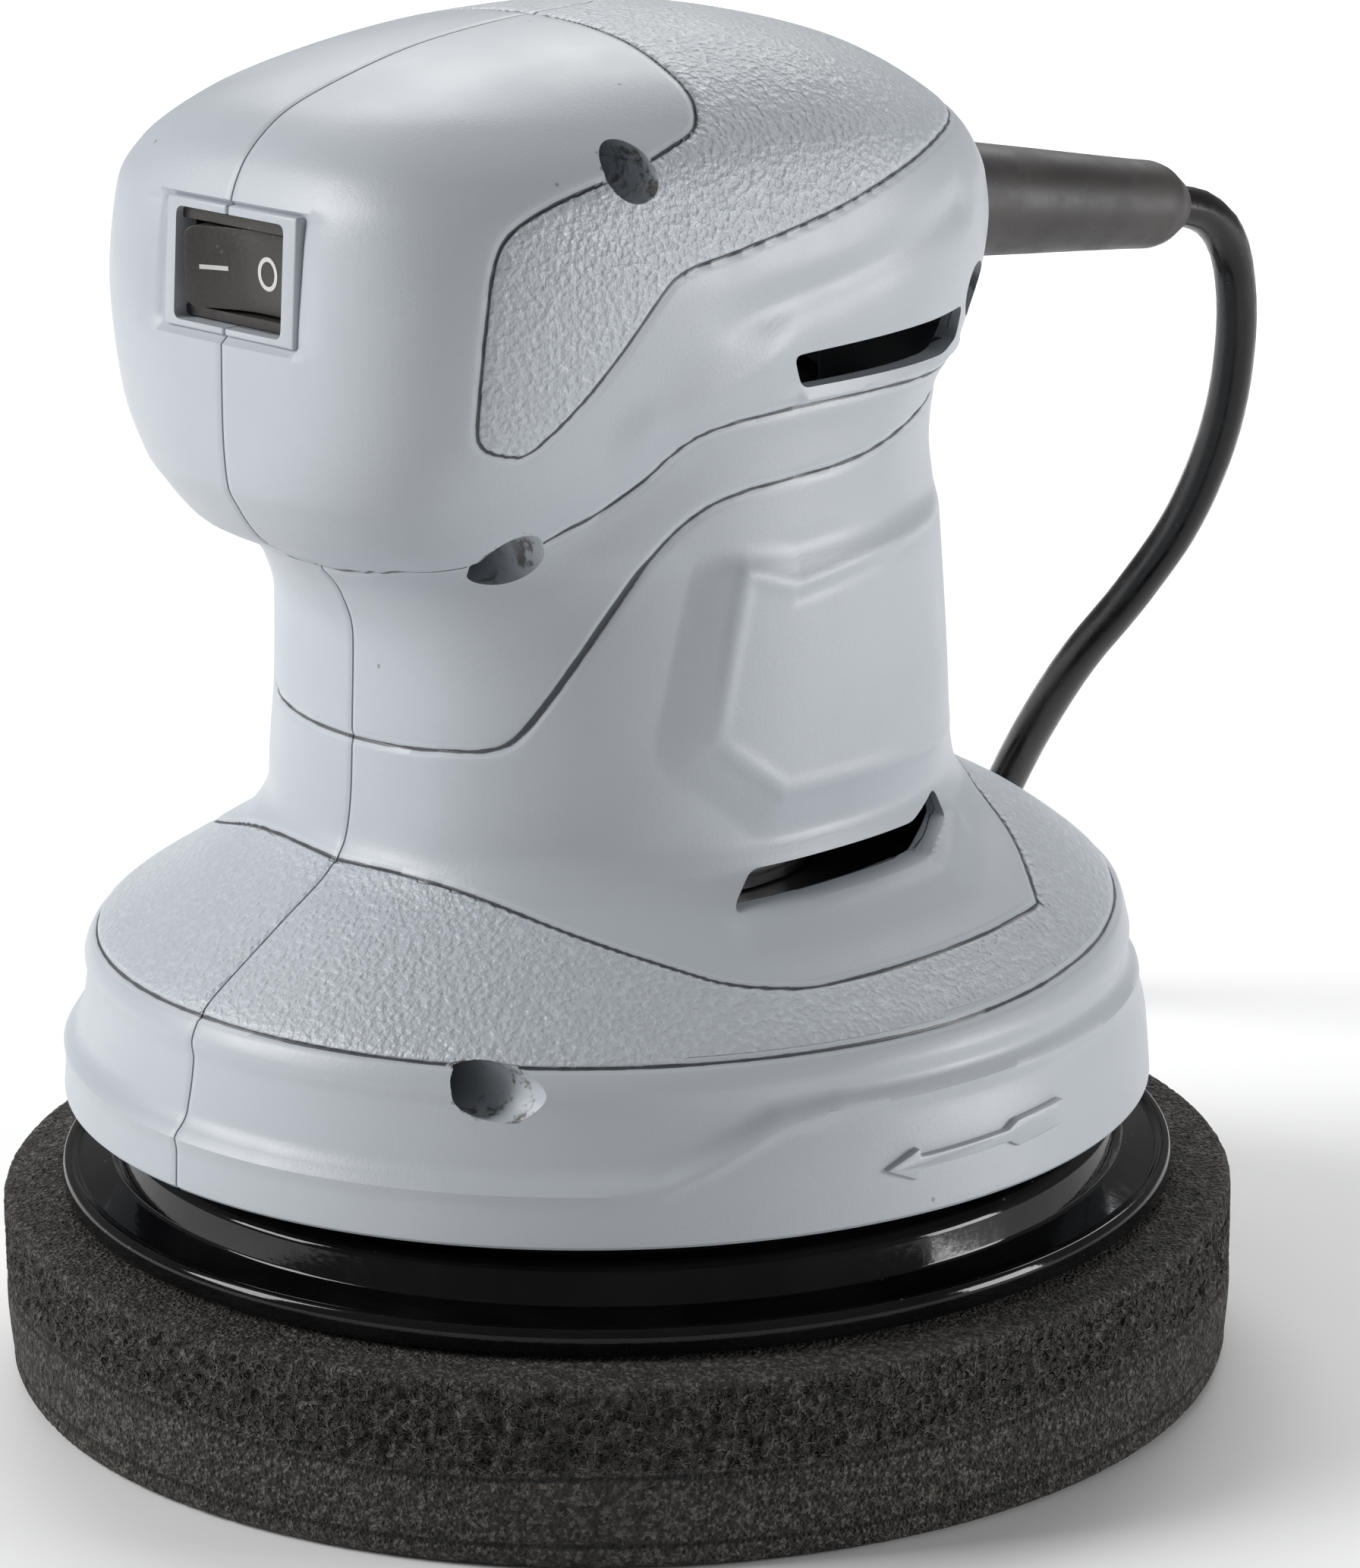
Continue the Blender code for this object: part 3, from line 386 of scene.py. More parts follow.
def gloss_black():
    f = Finish("gloss_black_plastic")
    tone = f.mix(f.spread(f.noise(60, 4), 0.35, 0.65), (0.0025, 0.0025, 0.003), (0.006, 0.006, 0.0065))
    dust = f.spread(f.cells(260), 0.03, 0.055, 1, 0)
    tone = f.mix(f.times(dust, 0.5), tone, (0.16, 0.15, 0.14))
    scuffs = f.spread(f.noise(120, 6, 0.7, (1, 6, 1)), 0.45, 0.75, 0.07, 0.16)
    f.shader.inputs["Specular IOR Level"].default_value = 0.3
    return f.wear(tone, scuffs, f.bump(f.noise(900, 2), 0.00002, 0.5))


def open_cell_foam():
    """Charcoal foam: open cells with painted shade in the pits and painted glints on the struts and specks,
    coarser in one band.
    """
    f = Finish("foam")
    coarse = f.measured("coarse_share")
    big_pit = f.spread(f.cells(720), 0.12, 0.44, 1, 0)
    big_strut = f.spread(f.cells(720, "DISTANCE_TO_EDGE"), 0.0, 0.17, 1, 0)
    small_pit = f.spread(f.cells(1500), 0.15, 0.45, 1, 0)
    small_strut = f.spread(f.cells(1500, "DISTANCE_TO_EDGE"), 0.0, 0.2, 1, 0)
    # painted glints: scattered pale specks over the foam
    specks = f.spread(f.cells(2100, output="Color"), 0.6, 0.74)
    tone = f.mix(f.noise(90, 4), (0.020, 0.0175, 0.016), (0.036, 0.032, 0.029))
    # painted shade: the small pits are coloured near black
    small = f.mix(f.times(small_pit, 0.85), tone, (0.005, 0.0045, 0.004))
    # painted highlights on the small struts, then the painted glint specks over them
    glint = f.times(small_strut, f.spread(f.noise(950, 2), 0.48, 0.66))
    small = f.mix(f.times(glint, 0.6), small, (0.16, 0.145, 0.13))
    small = f.mix(f.times(specks, 0.6), small, (0.17, 0.152, 0.138))
    # painted shade: the big pits are coloured near black
    big = f.mix(big_pit, tone, (0.002, 0.0018, 0.0017))
    # painted highlights on the big struts, then fainter painted glint specks
    big_glint = f.times(big_strut, f.spread(f.noise(600, 2), 0.4, 0.64))
    big = f.mix(f.times(big_glint, 0.75), big, (0.15, 0.135, 0.122))
    big = f.mix(f.times(specks, 0.16), big, (0.2, 0.18, 0.163))
    tone = f.mix(coarse, small, big)
    seam = f.spread(f.calc("ABSOLUTE", f.measured("seam_mm")), 0.1, 0.5, 1, 0)
    tone = f.mix(f.times(seam, 0.8), tone, (0.006, 0.005, 0.005))
    rough = f.spread(f.noise(700, 3), 0.3, 0.7, 0.72, 0.95)
    small_relief = f.bump(f.calc("SUBTRACT", small_strut, small_pit), 0.0003, 1.0)
    big_relief = f.bump(f.times(coarse, f.calc("SUBTRACT", big_strut, big_pit)), 0.0006, 0.9,
                        small_relief)
    return f.wear(tone, rough, big_relief)


def soft_vinyl(name, colour, roughness, scale=1.0):
    """Soft black PVC of a boot or a lead: faint mottling, tiny specks and flow marks."""
    f = Finish(name)
    tone = f.mix(f.spread(f.noise(55 * scale, 5), 0.3, 0.7), shade(colour, 0.8), shade(colour, 1.25))
    dust = f.spread(f.cells(480), 0.03, 0.06, 1, 0)
    tone = f.mix(f.times(dust, 0.35), tone, (0.3, 0.28, 0.27))
    rough = f.spread(f.noise(210, 5), 0.3, 0.7, roughness - 0.07, roughness + 0.09)
    return f.wear(tone, rough, f.bump(f.noise(1900, 3), 0.00003, 0.7))


def machined_metal(name, colour, roughness, lines=(40, 40, 1400), tint=None):
    """Metal with fine turning marks and light staining."""
    f = Finish(name, metallic=1.0)
    marks = f.noise(1.0, 3, 0.6, lines)
    stain = f.spread(f.noise(110, 5), 0.45, 0.7)
    tone = f.mix(stain, colour, tint or shade(colour, 0.72))
    rough = f.spread(marks, 0.3, 0.7, roughness - 0.08, roughness + 0.1)
    return f.wear(tone, rough, f.bump(marks, 0.00001, 0.6))


def wound_copper():
    f = Finish("copper", metallic=1.0)
    strands = f.noise(1.0, 1, 0.4, (900, 900, 2600))
    tone = f.mix(f.spread(strands, 0.35, 0.65), (0.22, 0.075, 0.03), (0.62, 0.28, 0.13))
    return f.wear(tone, f.spread(strands, 0.3, 0.7, 0.28, 0.45), f.bump(strands, 0.0002, 0.8))


def speckled(name, colour, fleck, roughness, scale=1400):
    """A pressed or sintered solid, such as ferrite or carbon."""
    f = Finish(name)
    grains = f.spread(f.cells(scale), 0.1, 0.5)
    tone = f.mix(grains, fleck, colour)
    return f.wear(tone, f.spread(f.noise(300, 4), 0.3, 0.7, roughness - 0.08, roughness + 0.08),
                  f.bump(grains, 0.00004, 0.6))


def board_green():
    f = Finish("circuit_board")
    tracks = f.spread(f.cells(260, "DISTANCE_TO_EDGE"), 0.03, 0.07, 1, 0)
    tone = f.mix(tracks, (0.018, 0.12, 0.05), (0.05, 0.26, 0.12))
    return f.wear(tone, f.spread(tracks, 0, 1, 0.3, 0.42), f.bump(tracks, 0.00004, 0.6))


def make_finishes():
    """One material for each of the record's slots."""
    return {
        "housing_plastic": housing_plastic(),
        "black_plastic": moulded_plastic("black_plastic", (0.030, 0.0265, 0.0245), 0.43, 0.00005, 1700, 0.12),
        "gloss_black_plastic": gloss_black(),
        "foam": open_cell_foam(),
        "black_rubber": soft_vinyl("black_rubber", (0.042, 0.038, 0.037), 0.46),
        "bright_steel": machined_metal("bright_steel", (0.52, 0.52, 0.53), 0.32),
        "dark_steel": machined_metal("dark_steel", (0.11, 0.11, 0.12), 0.42, (1400, 60, 60),
                                     (0.10, 0.065, 0.04)),
        "ferrite": speckled("ferrite", (0.05, 0.05, 0.055), (0.11, 0.11, 0.12), 0.6),
        "copper": wound_copper(),
        "carbon": speckled("carbon", (0.022, 0.022, 0.024), (0.07, 0.07, 0.075), 0.5, 2000),
        "inner_plastic": moulded_plastic("inner_plastic", (0.03, 0.03, 0.033), 0.52),
        "cast_alloy": machined_metal("cast_alloy", (0.26, 0.26, 0.27), 0.5, (300, 300, 300)),
        "circuit_board": board_green(),
        "capacitor_sleeve": moulded_plastic("capacitor_sleeve", (0.02, 0.04, 0.15), 0.3),
        "brass": machined_metal("brass", (0.66, 0.47, 0.2), 0.26, (60, 900, 60), (0.42, 0.25, 0.1)),
        "lead_insulation": moulded_plastic("lead_insulation", (0.42, 0.02, 0.015), 0.38),
    }


# ---- mesh helpers ---------------------------------------------------------------------------------
def new_object(name, points, faces, origin=(0, 0, 0), sharp=35):
    """An object from points in millimetres, with its own origin at `origin` in metres."""
    mesh = bpy.data.meshes.new(name)
    shift = np.array(origin)
    mesh.from_pydata((np.asarray(points, float) * MM - shift).tolist(), [], faces)
    mesh.update()
    if sharp:
        mesh.shade_smooth()
        mesh.set_sharp_from_angle(angle=math.radians(sharp))
    obj = linked(name, mesh)
    obj.location = origin
    return obj


def dress(obj, slot, body, *nodes):
    """Give a piece its finish, the body it rides on and the CAD nodes that it stands for."""
    obj.data.materials.clear()
    obj.data.materials.append(finishes[slot])
    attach(obj, body)
    if nodes:
        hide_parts(*nodes)
    return obj


def evaluated_mesh(obj):
    return bpy.data.meshes.new_from_object(obj.evaluated_get(bpy.context.evaluated_depsgraph_get()))


def applied(obj, sharp=35):
    """The object with its modifiers made into its mesh, and their tools removed."""
    mesh = evaluated_mesh(obj)
    tools = [m.object for m in obj.modifiers if m.type == "BOOLEAN"]
    obj.modifiers.clear()
    obj.data = mesh
    for tool in tools:
        bpy.data.objects.remove(tool, do_unlink=True)
    mesh.shade_smooth()
    mesh.set_sharp_from_angle(angle=math.radians(sharp))
    return obj


def boolean(obj, tool, operation="DIFFERENCE", solver="MANIFOLD"):
    modifier = obj.modifiers.new("boolean", "BOOLEAN")
    modifier.operation = operation
    modifier.solver = solver
    modifier.object = tool
    tool.hide_render = True


def bevelled(obj, width, segments, above=None):
    """Break an object's edges, or only those that turn by more than an angle in degrees."""
    bevel = obj.modifiers.new("edge", "BEVEL")
    bevel.width = width * MM
    bevel.segments = segments
    if above:
        bevel.limit_method = "ANGLE"
        bevel.angle_limit = math.radians(above)
    return obj


def rounded(outline, radius, steps=4, closed=True):
    """Round the corners of an outline, each as far as its neighbours leave room."""
    points = [Vector(p) for p in outline]
    out = []
    for i, here in enumerate(points):
        if not closed and i in (0, len(points) - 1):
            out.append(here)
            continue
        before, after = points[i - 1], points[(i + 1) % len(points)]
        reach = min(radius, (before - here).length * 0.45, (after - here).length * 0.45)
        start = here + (before - here).normalized() * reach
        stop = here + (after - here).normalized() * reach
        for k in range(steps + 1):
            t = k / steps
            out.append(start * (1 - t) ** 2 + here * 2 * t * (1 - t) + stop * t ** 2)
    return [tuple(p) for p in out]


def turned(name, profile, steps, place=Matrix(), origin=(0, 0, 0), sharp=35):
    """Spin a closed (radius, height) outline, from axis to axis or all the way round, about Z."""
    points, rows = [], []
    for radius, height in profile:
        if radius == 0:
            rows.append([len(points)] * steps)
            points.append((0, 0, height))
        else:
            rows.append(list(range(len(points), len(points) + steps)))
            angles = [2 * math.pi * k / steps for k in range(steps)]
            points += [(radius * math.cos(a), radius * math.sin(a), height) for a in angles]
    faces = []
    for i, low in enumerate(rows):
        high = rows[(i + 1) % len(rows)]
        if low[0] == low[1] and high[0] == high[1]:
            continue
        for k in range(steps):
            corner = [low[k], low[(k + 1) % steps], high[(k + 1) % steps], high[k]]
            faces.append(list(dict.fromkeys(corner)))
    points = [tuple(place @ Vector(p)) for p in points]
    return new_object(name, points, faces, origin, sharp)


def prism(name, outline, low, high, axis="Z"):
    """Extrude an outline along Z, an outline in (y, z) along X, or one in (x, z) along Y."""
    put = {"X": lambda u, v, h: (h, u, v), "Y": lambda u, v, h: (u, h, v),
           "Z": lambda u, v, h: (u, v, h)}[axis]
    count = len(outline)
    points = [put(u, v, h) for h in (low, high) for u, v in outline]
    area = sum(outline[i - 1][0] * outline[i][1] - outline[i][0] * outline[i - 1][1] for i in range(count))
    forward = (area > 0) == (axis != "Y")
    faces = [list(range(count))[::-1], list(range(count, 2 * count))]
    faces += [[i, (i + 1) % count, count + (i + 1) % count, count + i] for i in range(count)]
    if not forward:
        faces = [face[::-1] for face in faces]
    return new_object(name, points, faces, sharp=0)


def rod(name, radius, start, end, steps=32):
    start, end = Vector(start), Vector(end)
    profile = [(0, 0), (radius, 0), (radius, (end - start).length), (0, (end - start).length)]
    turn = (end - start).to_track_quat("Z", "Y").to_matrix().to_4x4()
    return turned(name, profile, steps, Matrix.Translation(start) @ turn, sharp=0)


def smooth_path(route, spacing):
    """Read a Catmull-Rom curve through the route's points at about the given spacing."""
    points = [Vector(p) for p in route]
    points = [2 * points[0] - points[1]] + points + [2 * points[-1] - points[-2]]
    path = []
    for p0, p1, p2, p3 in zip(points, points[1:], points[2:], points[3:]):
        count = max(1, round((p2 - p1).length / spacing))
        for i in range(count):
            t = i / count
            path.append(0.5 * (2 * p1 + (p2 - p0) * t + (2 * p0 - 5 * p1 + 4 * p2 - p3) * t ** 2
                               + (3 * p1 - p0 - 3 * p2 + p3) * t ** 3))
    return path + [points[-2]]


def ease(x):
    x = np.clip(x, 0.0, 1.0)
    return x * x * (3 - 2 * x)


# ---- lead, coil and plug --------------------------------------------------------------------------
def coil_point(turns):
    """A point of the coil after so many turns: inwards on the floor, then outwards on top."""
    steps_in = sum(float(ease((turns - (n - 1 / 12)) * 12)) for n in (1, 2, 3))
    steps_out = sum(float(ease((turns - (n - 1 / 3)) * 12)) for n in (5, 6, 7))
    radius = COIL_RADII[0] - CORD_D * (steps_in - steps_out)
    height = COIL_Z[0] + CORD_D * float(ease((turns - 3.75) * 12))
    angle = math.radians(90) + 2 * math.pi * turns
    return COIL_CENTRE + Vector((radius * math.cos(angle), radius * math.sin(angle), height))


def make_lead():
    """The whole mains lead as one curve: down from the strain relief, round the coil, to the plug."""
    down = smooth_path(CORD_ROUTE, 2.5)[:-1]
    coil = [coil_point(k / 64) for k in range(8 * 64)]
    tail = smooth_path(TAIL_ROUTE, 2.5)
    path = down + coil + tail
    curve = bpy.data.curves.new("mains_lead", "CURVE")
    curve.dimensions = "3D"
    curve.bevel_depth = 1.0                # scaled by each point's radius, which Blender also bounds it by
    curve.bevel_resolution = 5
    curve.use_fill_caps = True
    spline = curve.splines.new("POLY")
    spline.points.add(len(path) - 1)
    for point, place in zip(spline.points, path):
        point.co = (*(place * MM), 1)
        point.radius = CORD_D / 2 * MM
    spline.use_smooth = True
    lead = linked("mains_lead", curve)
    dress(lead, "black_rubber", "housing", "cord", "cord_coil", "cord_tail")
    curve.materials.clear()
    curve.materials.append(soft_vinyl("lead_vinyl", (0.005, 0.0047, 0.0045), 0.24, 2.0))
    length = sum((b - a).length for a, b in zip(path, path[1:])) * MM


def make_plug():
    """The plug's soft moulding: a ribbed neck that swells into a squared grip."""
    end = Vector(TAIL_ROUTE[-1])
    sections = [(0, 3.2, 3.2), (0.5, 3.5, 3.5)]
    for k in range(4):
        run = 1.6 + 2.6 * k
        half = 3.5 + 0.38 * k
        sections += [(run, half, half), (run + 0.3, half - 0.6, half - 0.6),
                     (run + 1.2, half - 0.6, half - 0.6), (run + 1.5, half + 0.1, half + 0.1)]
    sections += [(12.4, 6.6, 5.2), (14.5, 8.6, 6.0), (17, 9.6, 6.35), (24, 10.4, 6.6), (31.5, 11, 6.8),
                 (32.6, 10.8, 6.6), (PLUG_LENGTH, 10.2, 6.0)]
    around = 48
    points, faces = [], []
    for run, half_w, half_h in sections:
        power = 2 + 2 * float(ease((run - 8) / 10))
        for k in range(around):
            a = 2 * math.pi * k / around
            c, s = math.cos(a), math.sin(a)
            r = (abs(c) ** power + abs(s) ** power) ** (-1 / power)
            points.append(end + Vector((-run, half_w * r * c, half_h * r * s)))
    for i in range(len(sections) - 1):
        for k in range(around):
            a, b = i * around + k, i * around + (k + 1) % around
            faces.append([a, b, b + around, a + around])
    faces += [list(range(around))[::-1], list(range(len(points) - around, len(points)))]
    plug = new_object("plug_moulding", points, faces, sharp=40)
    dress(plug, "black_rubber", "housing", "plug_body")


def make_tie():
    """A flat tie round the coil, closed by a small buckle on top."""
    inner, outer = COIL_RADII[-1] - CORD_D / 2 - 0.3, COIL_RADII[0] + CORD_D / 2 + 0.3
    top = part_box("coil_tie")[1].z / MM - 0.8
    loop = rounded([(inner - 0.8, 0), (outer + 0.8, 0), (outer + 0.8, top + 0.8),
                    (inner - 0.8, top + 0.8)], 1.6)
    hole = rounded([(inner, 0.8), (outer, 0.8), (outer, top), (inner, top)], 1.0)
    tie = prism("lead_tie", loop, -2.2, 2.2, "Y")
    boolean(tie, prism("tie_space", hole, -5, 5, "Y"))
    middle = (inner + outer) / 2
    outline = rounded([(middle - 3, top - 0.3), (middle + 3, top - 0.3), (middle + 3, top + 0.8),
                       (middle - 3, top + 0.8)], 0.5)
    buckle = prism("tie_buckle", outline, -2.2, 2.2, "Y")
    boolean(tie, buckle, "UNION")
    applied(tie, 40)
    turn = Matrix.Translation(COIL_CENTRE * MM) @ Matrix.Rotation(math.radians(-140), 4, "Z")
    tie.data.transform(turn)
    dress(tie, "black_plastic", "housing", "coil_tie")


def make_boot():
    """The strain relief, a plain tapered sleeve with a rolled lip and a chamfered end."""
    profile = [(0, -8.4), (8.4, -8.4), (8.4, -5.6), (5.8, -5.6), (5.8, 0), (7.5, 0), (7.6, 4), (7.1, 14),
               (6.6, 25), (6.15, 34), (5.75, 43), (5.65, 46.5), (5.2, 48.3), (3.4, BOOT_LENGTH),
               (0, BOOT_LENGTH)]
    soft = rounded(profile, 0.5, 3, closed=False)
    turn = BOOT_ALONG.to_track_quat("Z", "Y").to_matrix().to_4x4()
    boot = turned("strain_boot", soft, 72, Matrix.Translation(BOOT_BASE) @ turn, sharp=40)
    dress(boot, "black_rubber", "housing", "strain_relief")


# ---- housing --------------------------------------------------------------------------------------
def ring_values(index):
    """The rings read at a fractional index, with slopes that never overshoot."""
    steps = np.diff(RINGS, axis=0)
    before, after = steps[:-1], steps[1:]
    total = np.where(np.abs(before + after) < 1e-9, 1.0, before + after)
    slopes = np.zeros_like(RINGS)
    slopes[1:-1] = np.where(before * after > 0, 2 * before * after / total, 0)
    slopes[0], slopes[-1] = steps[0], steps[-1]
    low = np.clip(index.astype(int), 0, len(RINGS) - 2)
    f = (index - low)[:, None]
    a, b, slope_a, slope_b = RINGS[low], RINGS[low + 1], slopes[low], slopes[low + 1]
    return (2 * f**3 - 3 * f**2 + 1) * a + (f**3 - 2 * f**2 + f) * slope_a \
        + (3 * f**2 - 2 * f**3) * b + (f**3 - f**2) * slope_b


def housing_surface(index, angles):
    """Points of the plain housing surface: one row for each ring index, one column for each angle."""
    values = ring_values(index)
    z_front, z_side, z_rear, width, front, rear, square_front, square_rear = \
        [values[:, k][:, None] for k in range(8)]
    c, s = np.cos(angles)[None, :], np.sin(angles)[None, :]
    reach = np.where(s < 0, front, rear) + 1e-6
    power = np.where(s < 0, square_front, square_rear)
    r = ((np.abs(c) / (width + 1e-6)) ** power + (np.abs(s) / reach) ** power) ** (-1 / power)
    share = r * s / reach
    z = z_side + (z_front - z_side) * ease((-share - 0.35) / 0.6) \
        + (z_rear - z_side) * ease((share - 0.2) / 0.7)
    return np.stack([r * c, r * s, z + 0 * r], axis=-1)


def grid_faces(rows, columns):
    """Quads of a grid of points stored row by row."""
    return [[i * columns + k, i * columns + k + 1, (i + 1) * columns + k + 1, (i + 1) * columns + k]
            for i in range(rows - 1) for k in range(columns - 1)]


def surface_normals(points):
    down = np.gradient(points, axis=0)
    round_ = np.gradient(points, axis=1)
    normals = np.cross(round_, down)
    length = np.linalg.norm(normals, axis=-1, keepdims=True)
    return np.where(length > 1e-9, normals / np.maximum(length, 1e-9), (0, 0, 1))


def even_rows():
    """Ring indices about ROW_STEP apart along the side, with close rows at the skirt's edge."""
    fine = np.linspace(0, len(RINGS) - 1, 4000)
    side = housing_surface(fine, np.array([0.0]))[:, 0]
    run = np.concatenate([[0], np.cumsum(np.linalg.norm(np.diff(side, axis=0), axis=1))])
    count = round(run[-1] / ROW_STEP)
    wanted = np.concatenate([[0, 0.15, 0.35], np.linspace(0.6, run[-1], count)])
    return np.interp(wanted, run, fine)


def column_angles():
    """Angles round a half, from front seam to rear seam, closer beside the seam."""
    close = [0, 0.22, 0.5, 0.9]
    middle = np.linspace(1.4, 178.6, COLUMNS - 2 * len(close))
    return np.radians(np.concatenate([close, middle, [180 - a for a in reversed(close)]]) - 90)


def inside(outline, u, v):
    """Whether points lie inside a closed outline, by counting the edges to one side."""
    odd = np.zeros(np.shape(u), bool)
    for (u0, v0), (u1, v1) in zip(outline, outline[1:] + outline[:1]):
        if v0 != v1:
            crosses = (v0 > v) != (v1 > v)
            odd ^= crosses & (u < u0 + (v - v0) * (u1 - u0) / (v1 - v0))
    return odd


def distance_to(line, u, v, closed=False):
    """Distance in a plane from points to a line of straight stretches."""
    best = np.full(np.shape(u), 1e9)
    ends = line[1:] + (line[:1] if closed else [])
    for (u0, v0), (u1, v1) in zip(line, ends):
        du, dv = u1 - u0, v1 - v0
        t = np.clip(((u - u0) * du + (v - v0) * dv) / (du * du + dv * dv), 0, 1)
        best = np.minimum(best, np.hypot(u - u0 - t * du, v - v0 - t * dv))
    return best


class MouldedLines:
    """The grooves of one half as points on its surface, for distances along the skin."""

    def __init__(self, surface):
        skin = BVHTree.FromPolygons([tuple(p) for p in surface.reshape(-1, 3)],
                                    grid_faces(*surface.shape[:2]))
        ring = []
        for a, b in zip(RING_TURNS, RING_TURNS[1:]):
            ring += [(a[0] + (b[0] - a[0]) * k / 6, a[1] + (b[1] - a[1]) * k / 6) for k in range(6)]
        ring.append(RING_TURNS[-1])
        ring_line = [(61.5 * math.cos(math.radians(a)), 61.5 * math.sin(math.radians(a)), z) for a, z in ring]
        # each with the sign of its upper side, so that every region between grooves has one sign
        routes = {"panel": (PANEL_LINE, -1), "head": (HEAD_LINE, 1), "band": (BAND_LINE, -1),
                  "apron": (APRON_LINE, 1), "ring": (ring_line, -1)}
        self.lines = {}
        signs = []
        for name, (route, sign) in routes.items():
            path = [skin.find_nearest(p)[0] for p in smooth_path(route, 0.4)]
            self.lines[name] = [path[0]] + [b for a, b in zip(path, path[1:]) if (b - a).length > 0.05]
            signs += [sign] * (len(self.lines[name]) - 1)
        self.signs = np.array(signs)
        spots = [(p, q) for path in self.lines.values() for p, q in zip(path, path[1:])]
        self.tangents = np.array([tuple((q - p).normalized()) for p, q in spots])
        self.points = np.array([tuple(p) for p, _ in spots])
        self.tree = KDTree(len(spots))
        for i, (p, _) in enumerate(spots):
            self.tree.insert(p, i)
        self.tree.balance()

    def signed(self, points, normals, limit=4.0):
        """Signed distance across the nearest groove in the skin, and plain distance, for each point."""
        found = [self.tree.find(p)[1] for p in points.tolist()]
        offset = points - self.points[found]
        tangent = self.tangents[found]
        side = np.cross(normals, tangent)
        side /= np.maximum(np.linalg.norm(side, axis=1, keepdims=True), 1e-9)
        across = (offset * side).sum(1)
        along = (offset * tangent).sum(1)
        far = np.linalg.norm(offset, axis=1)
        past_end = np.abs(along) > 0.7
        value = np.where(past_end, np.where(across < 0, -far, far), across) * self.signs[found]
        return np.clip(value, -limit, limit), np.minimum(far, limit)

    def outline(self, name, first, second):
        """A line seen along an axis, as a plane outline."""
        return [(p[first], p[second]) for p in self.lines[name]]


def panel_share(points, lines):
    """Distance in millimetres into the pebbled panels; negative on the smooth skin."""
    x, y, z = np.abs(points[..., 0]), points[..., 1], points[..., 2]
    top = lines.outline("panel", 1, 2) + [(60, 149), (60, 180), (-9.5, 180)]
    in_top = inside(top, y, z) & (z > 118)
    apron = lines.outline("apron", 0, 1) + [(-5, 42.6), (-5, -41.4)]
    radius = np.hypot(x, y)
    degrees = np.degrees(np.arctan2(y, x))
    ring_z = np.interp(degrees, *zip(*RING_TURNS))
    in_apron = (z > ring_z) & (z < 76) & (radius > 40) & ~inside(apron, x, y)
    return np.where(in_top | in_apron, 1.0, -1.0)


def relief(points, across):
    """Height of the moulded relief over the plain surface, in millimetres."""
    x, y, z = points[..., 0], points[..., 1], points[..., 2]
    degrees = np.degrees(np.arctan2(y, x))
    side = ease((x - 12) / 14)
    height = -0.34 * np.exp(-(across / 0.42) ** 2)
    # the raised field on the neck's side: a flat top, a broad ramp in front and below, a fine raised edge
    off = np.where(inside(PLATEAU, y, z), 0, distance_to(PLATEAU, y, z, closed=True))
    edge_off = distance_to(PLATEAU, y, z, closed=True)
    below_head = ease((107 - z) / 4) * ease((z - 69) / 3) * (1 - 0.85 * ease((y - 20) / 12))
    ramp = np.clip(1 - off / 6.0, 0, 1)
    ramp = 0.75 * ramp + 0.25 * ease(ramp)
    height += side * below_head * (1.9 * ramp - 0.6)
    height += side * below_head * 0.22 * np.exp(-((edge_off - 0.3) / 0.8) ** 2) * ease((y + 15.5) / 3)
    height -= 0.3 * side * np.exp(-(distance_to(FADING_CREASE, y, z) / 0.7) ** 2)
    # a swept valley and a ridge on the head's side, either side of the vent
    valley = distance_to(HEAD_VALLEY, y, z)
    height += -0.75 * np.exp(-(valley / 2.3) ** 2) * side * ease((y + 18) / 10)
    ridge = distance_to(HEAD_RIDGE, y, z)
    height += 0.8 * np.exp(-(ridge / 2.6) ** 2) * side * ease(-y / 9) * ease((y + 29) / 6)
    # lips under the vents
    upper_lip = distance_to([(-2, 121.9), (23.5, 121.9), (29, 123.2)], y, z)
    lower_lip = distance_to([(-16, 63.4), (14.5, 64), (23.5, 67)], y, z)
    height += 0.35 * np.exp(-(upper_lip / 0.9) ** 2) * side + 0.7 * np.exp(-(lower_lip / 1.5) ** 2) * side
    # the skirt: a proud lower band whose edge climbs towards the side, and a shallow waist above it
    edge = np.interp(degrees, *zip(*SKIRT_BAND))
    on_skirt = ease((54.5 - z) / 2)
    height += 0.5 * ease((edge + 0.9 - z) / 1.8) * on_skirt
    height += 0.35 * np.exp(-((z - edge + 0.9) / 0.8) ** 2) * on_skirt
    height -= 0.75 * ease((51.5 - z) / 2.6) * ease((z - edge + 0.4) / 2.6) * on_skirt
    # the lower rim and the seam's edges are broken
    height -= 0.45 * (1 - ease((z - 34) / 0.55)) ** 2
    height -= 0.13 * np.exp(-(x / 0.3) ** 2)
    return height


def bezel_relief(points):
    """A flat seat for the switch frame, and a hollow either side of it that fades outwards."""
    x, y, z = points[..., 0], points[..., 1], points[..., 2]
    front = ease((-y - 40) / 8)
    u, v = np.abs(x - 0.75) - 11.55, np.abs(z - 138.35) - 7.25
    between = ease(-v / 0.5 + 0.5)
    seat = ease(-u / 0.6 + 0.5) * between
    hollow = np.exp(-(np.maximum(u, 0) / 2.6) ** 2) * between * ease(u / 0.6 + 0.5)
    return front * (-1.1 * seat - 0.62 * hollow)


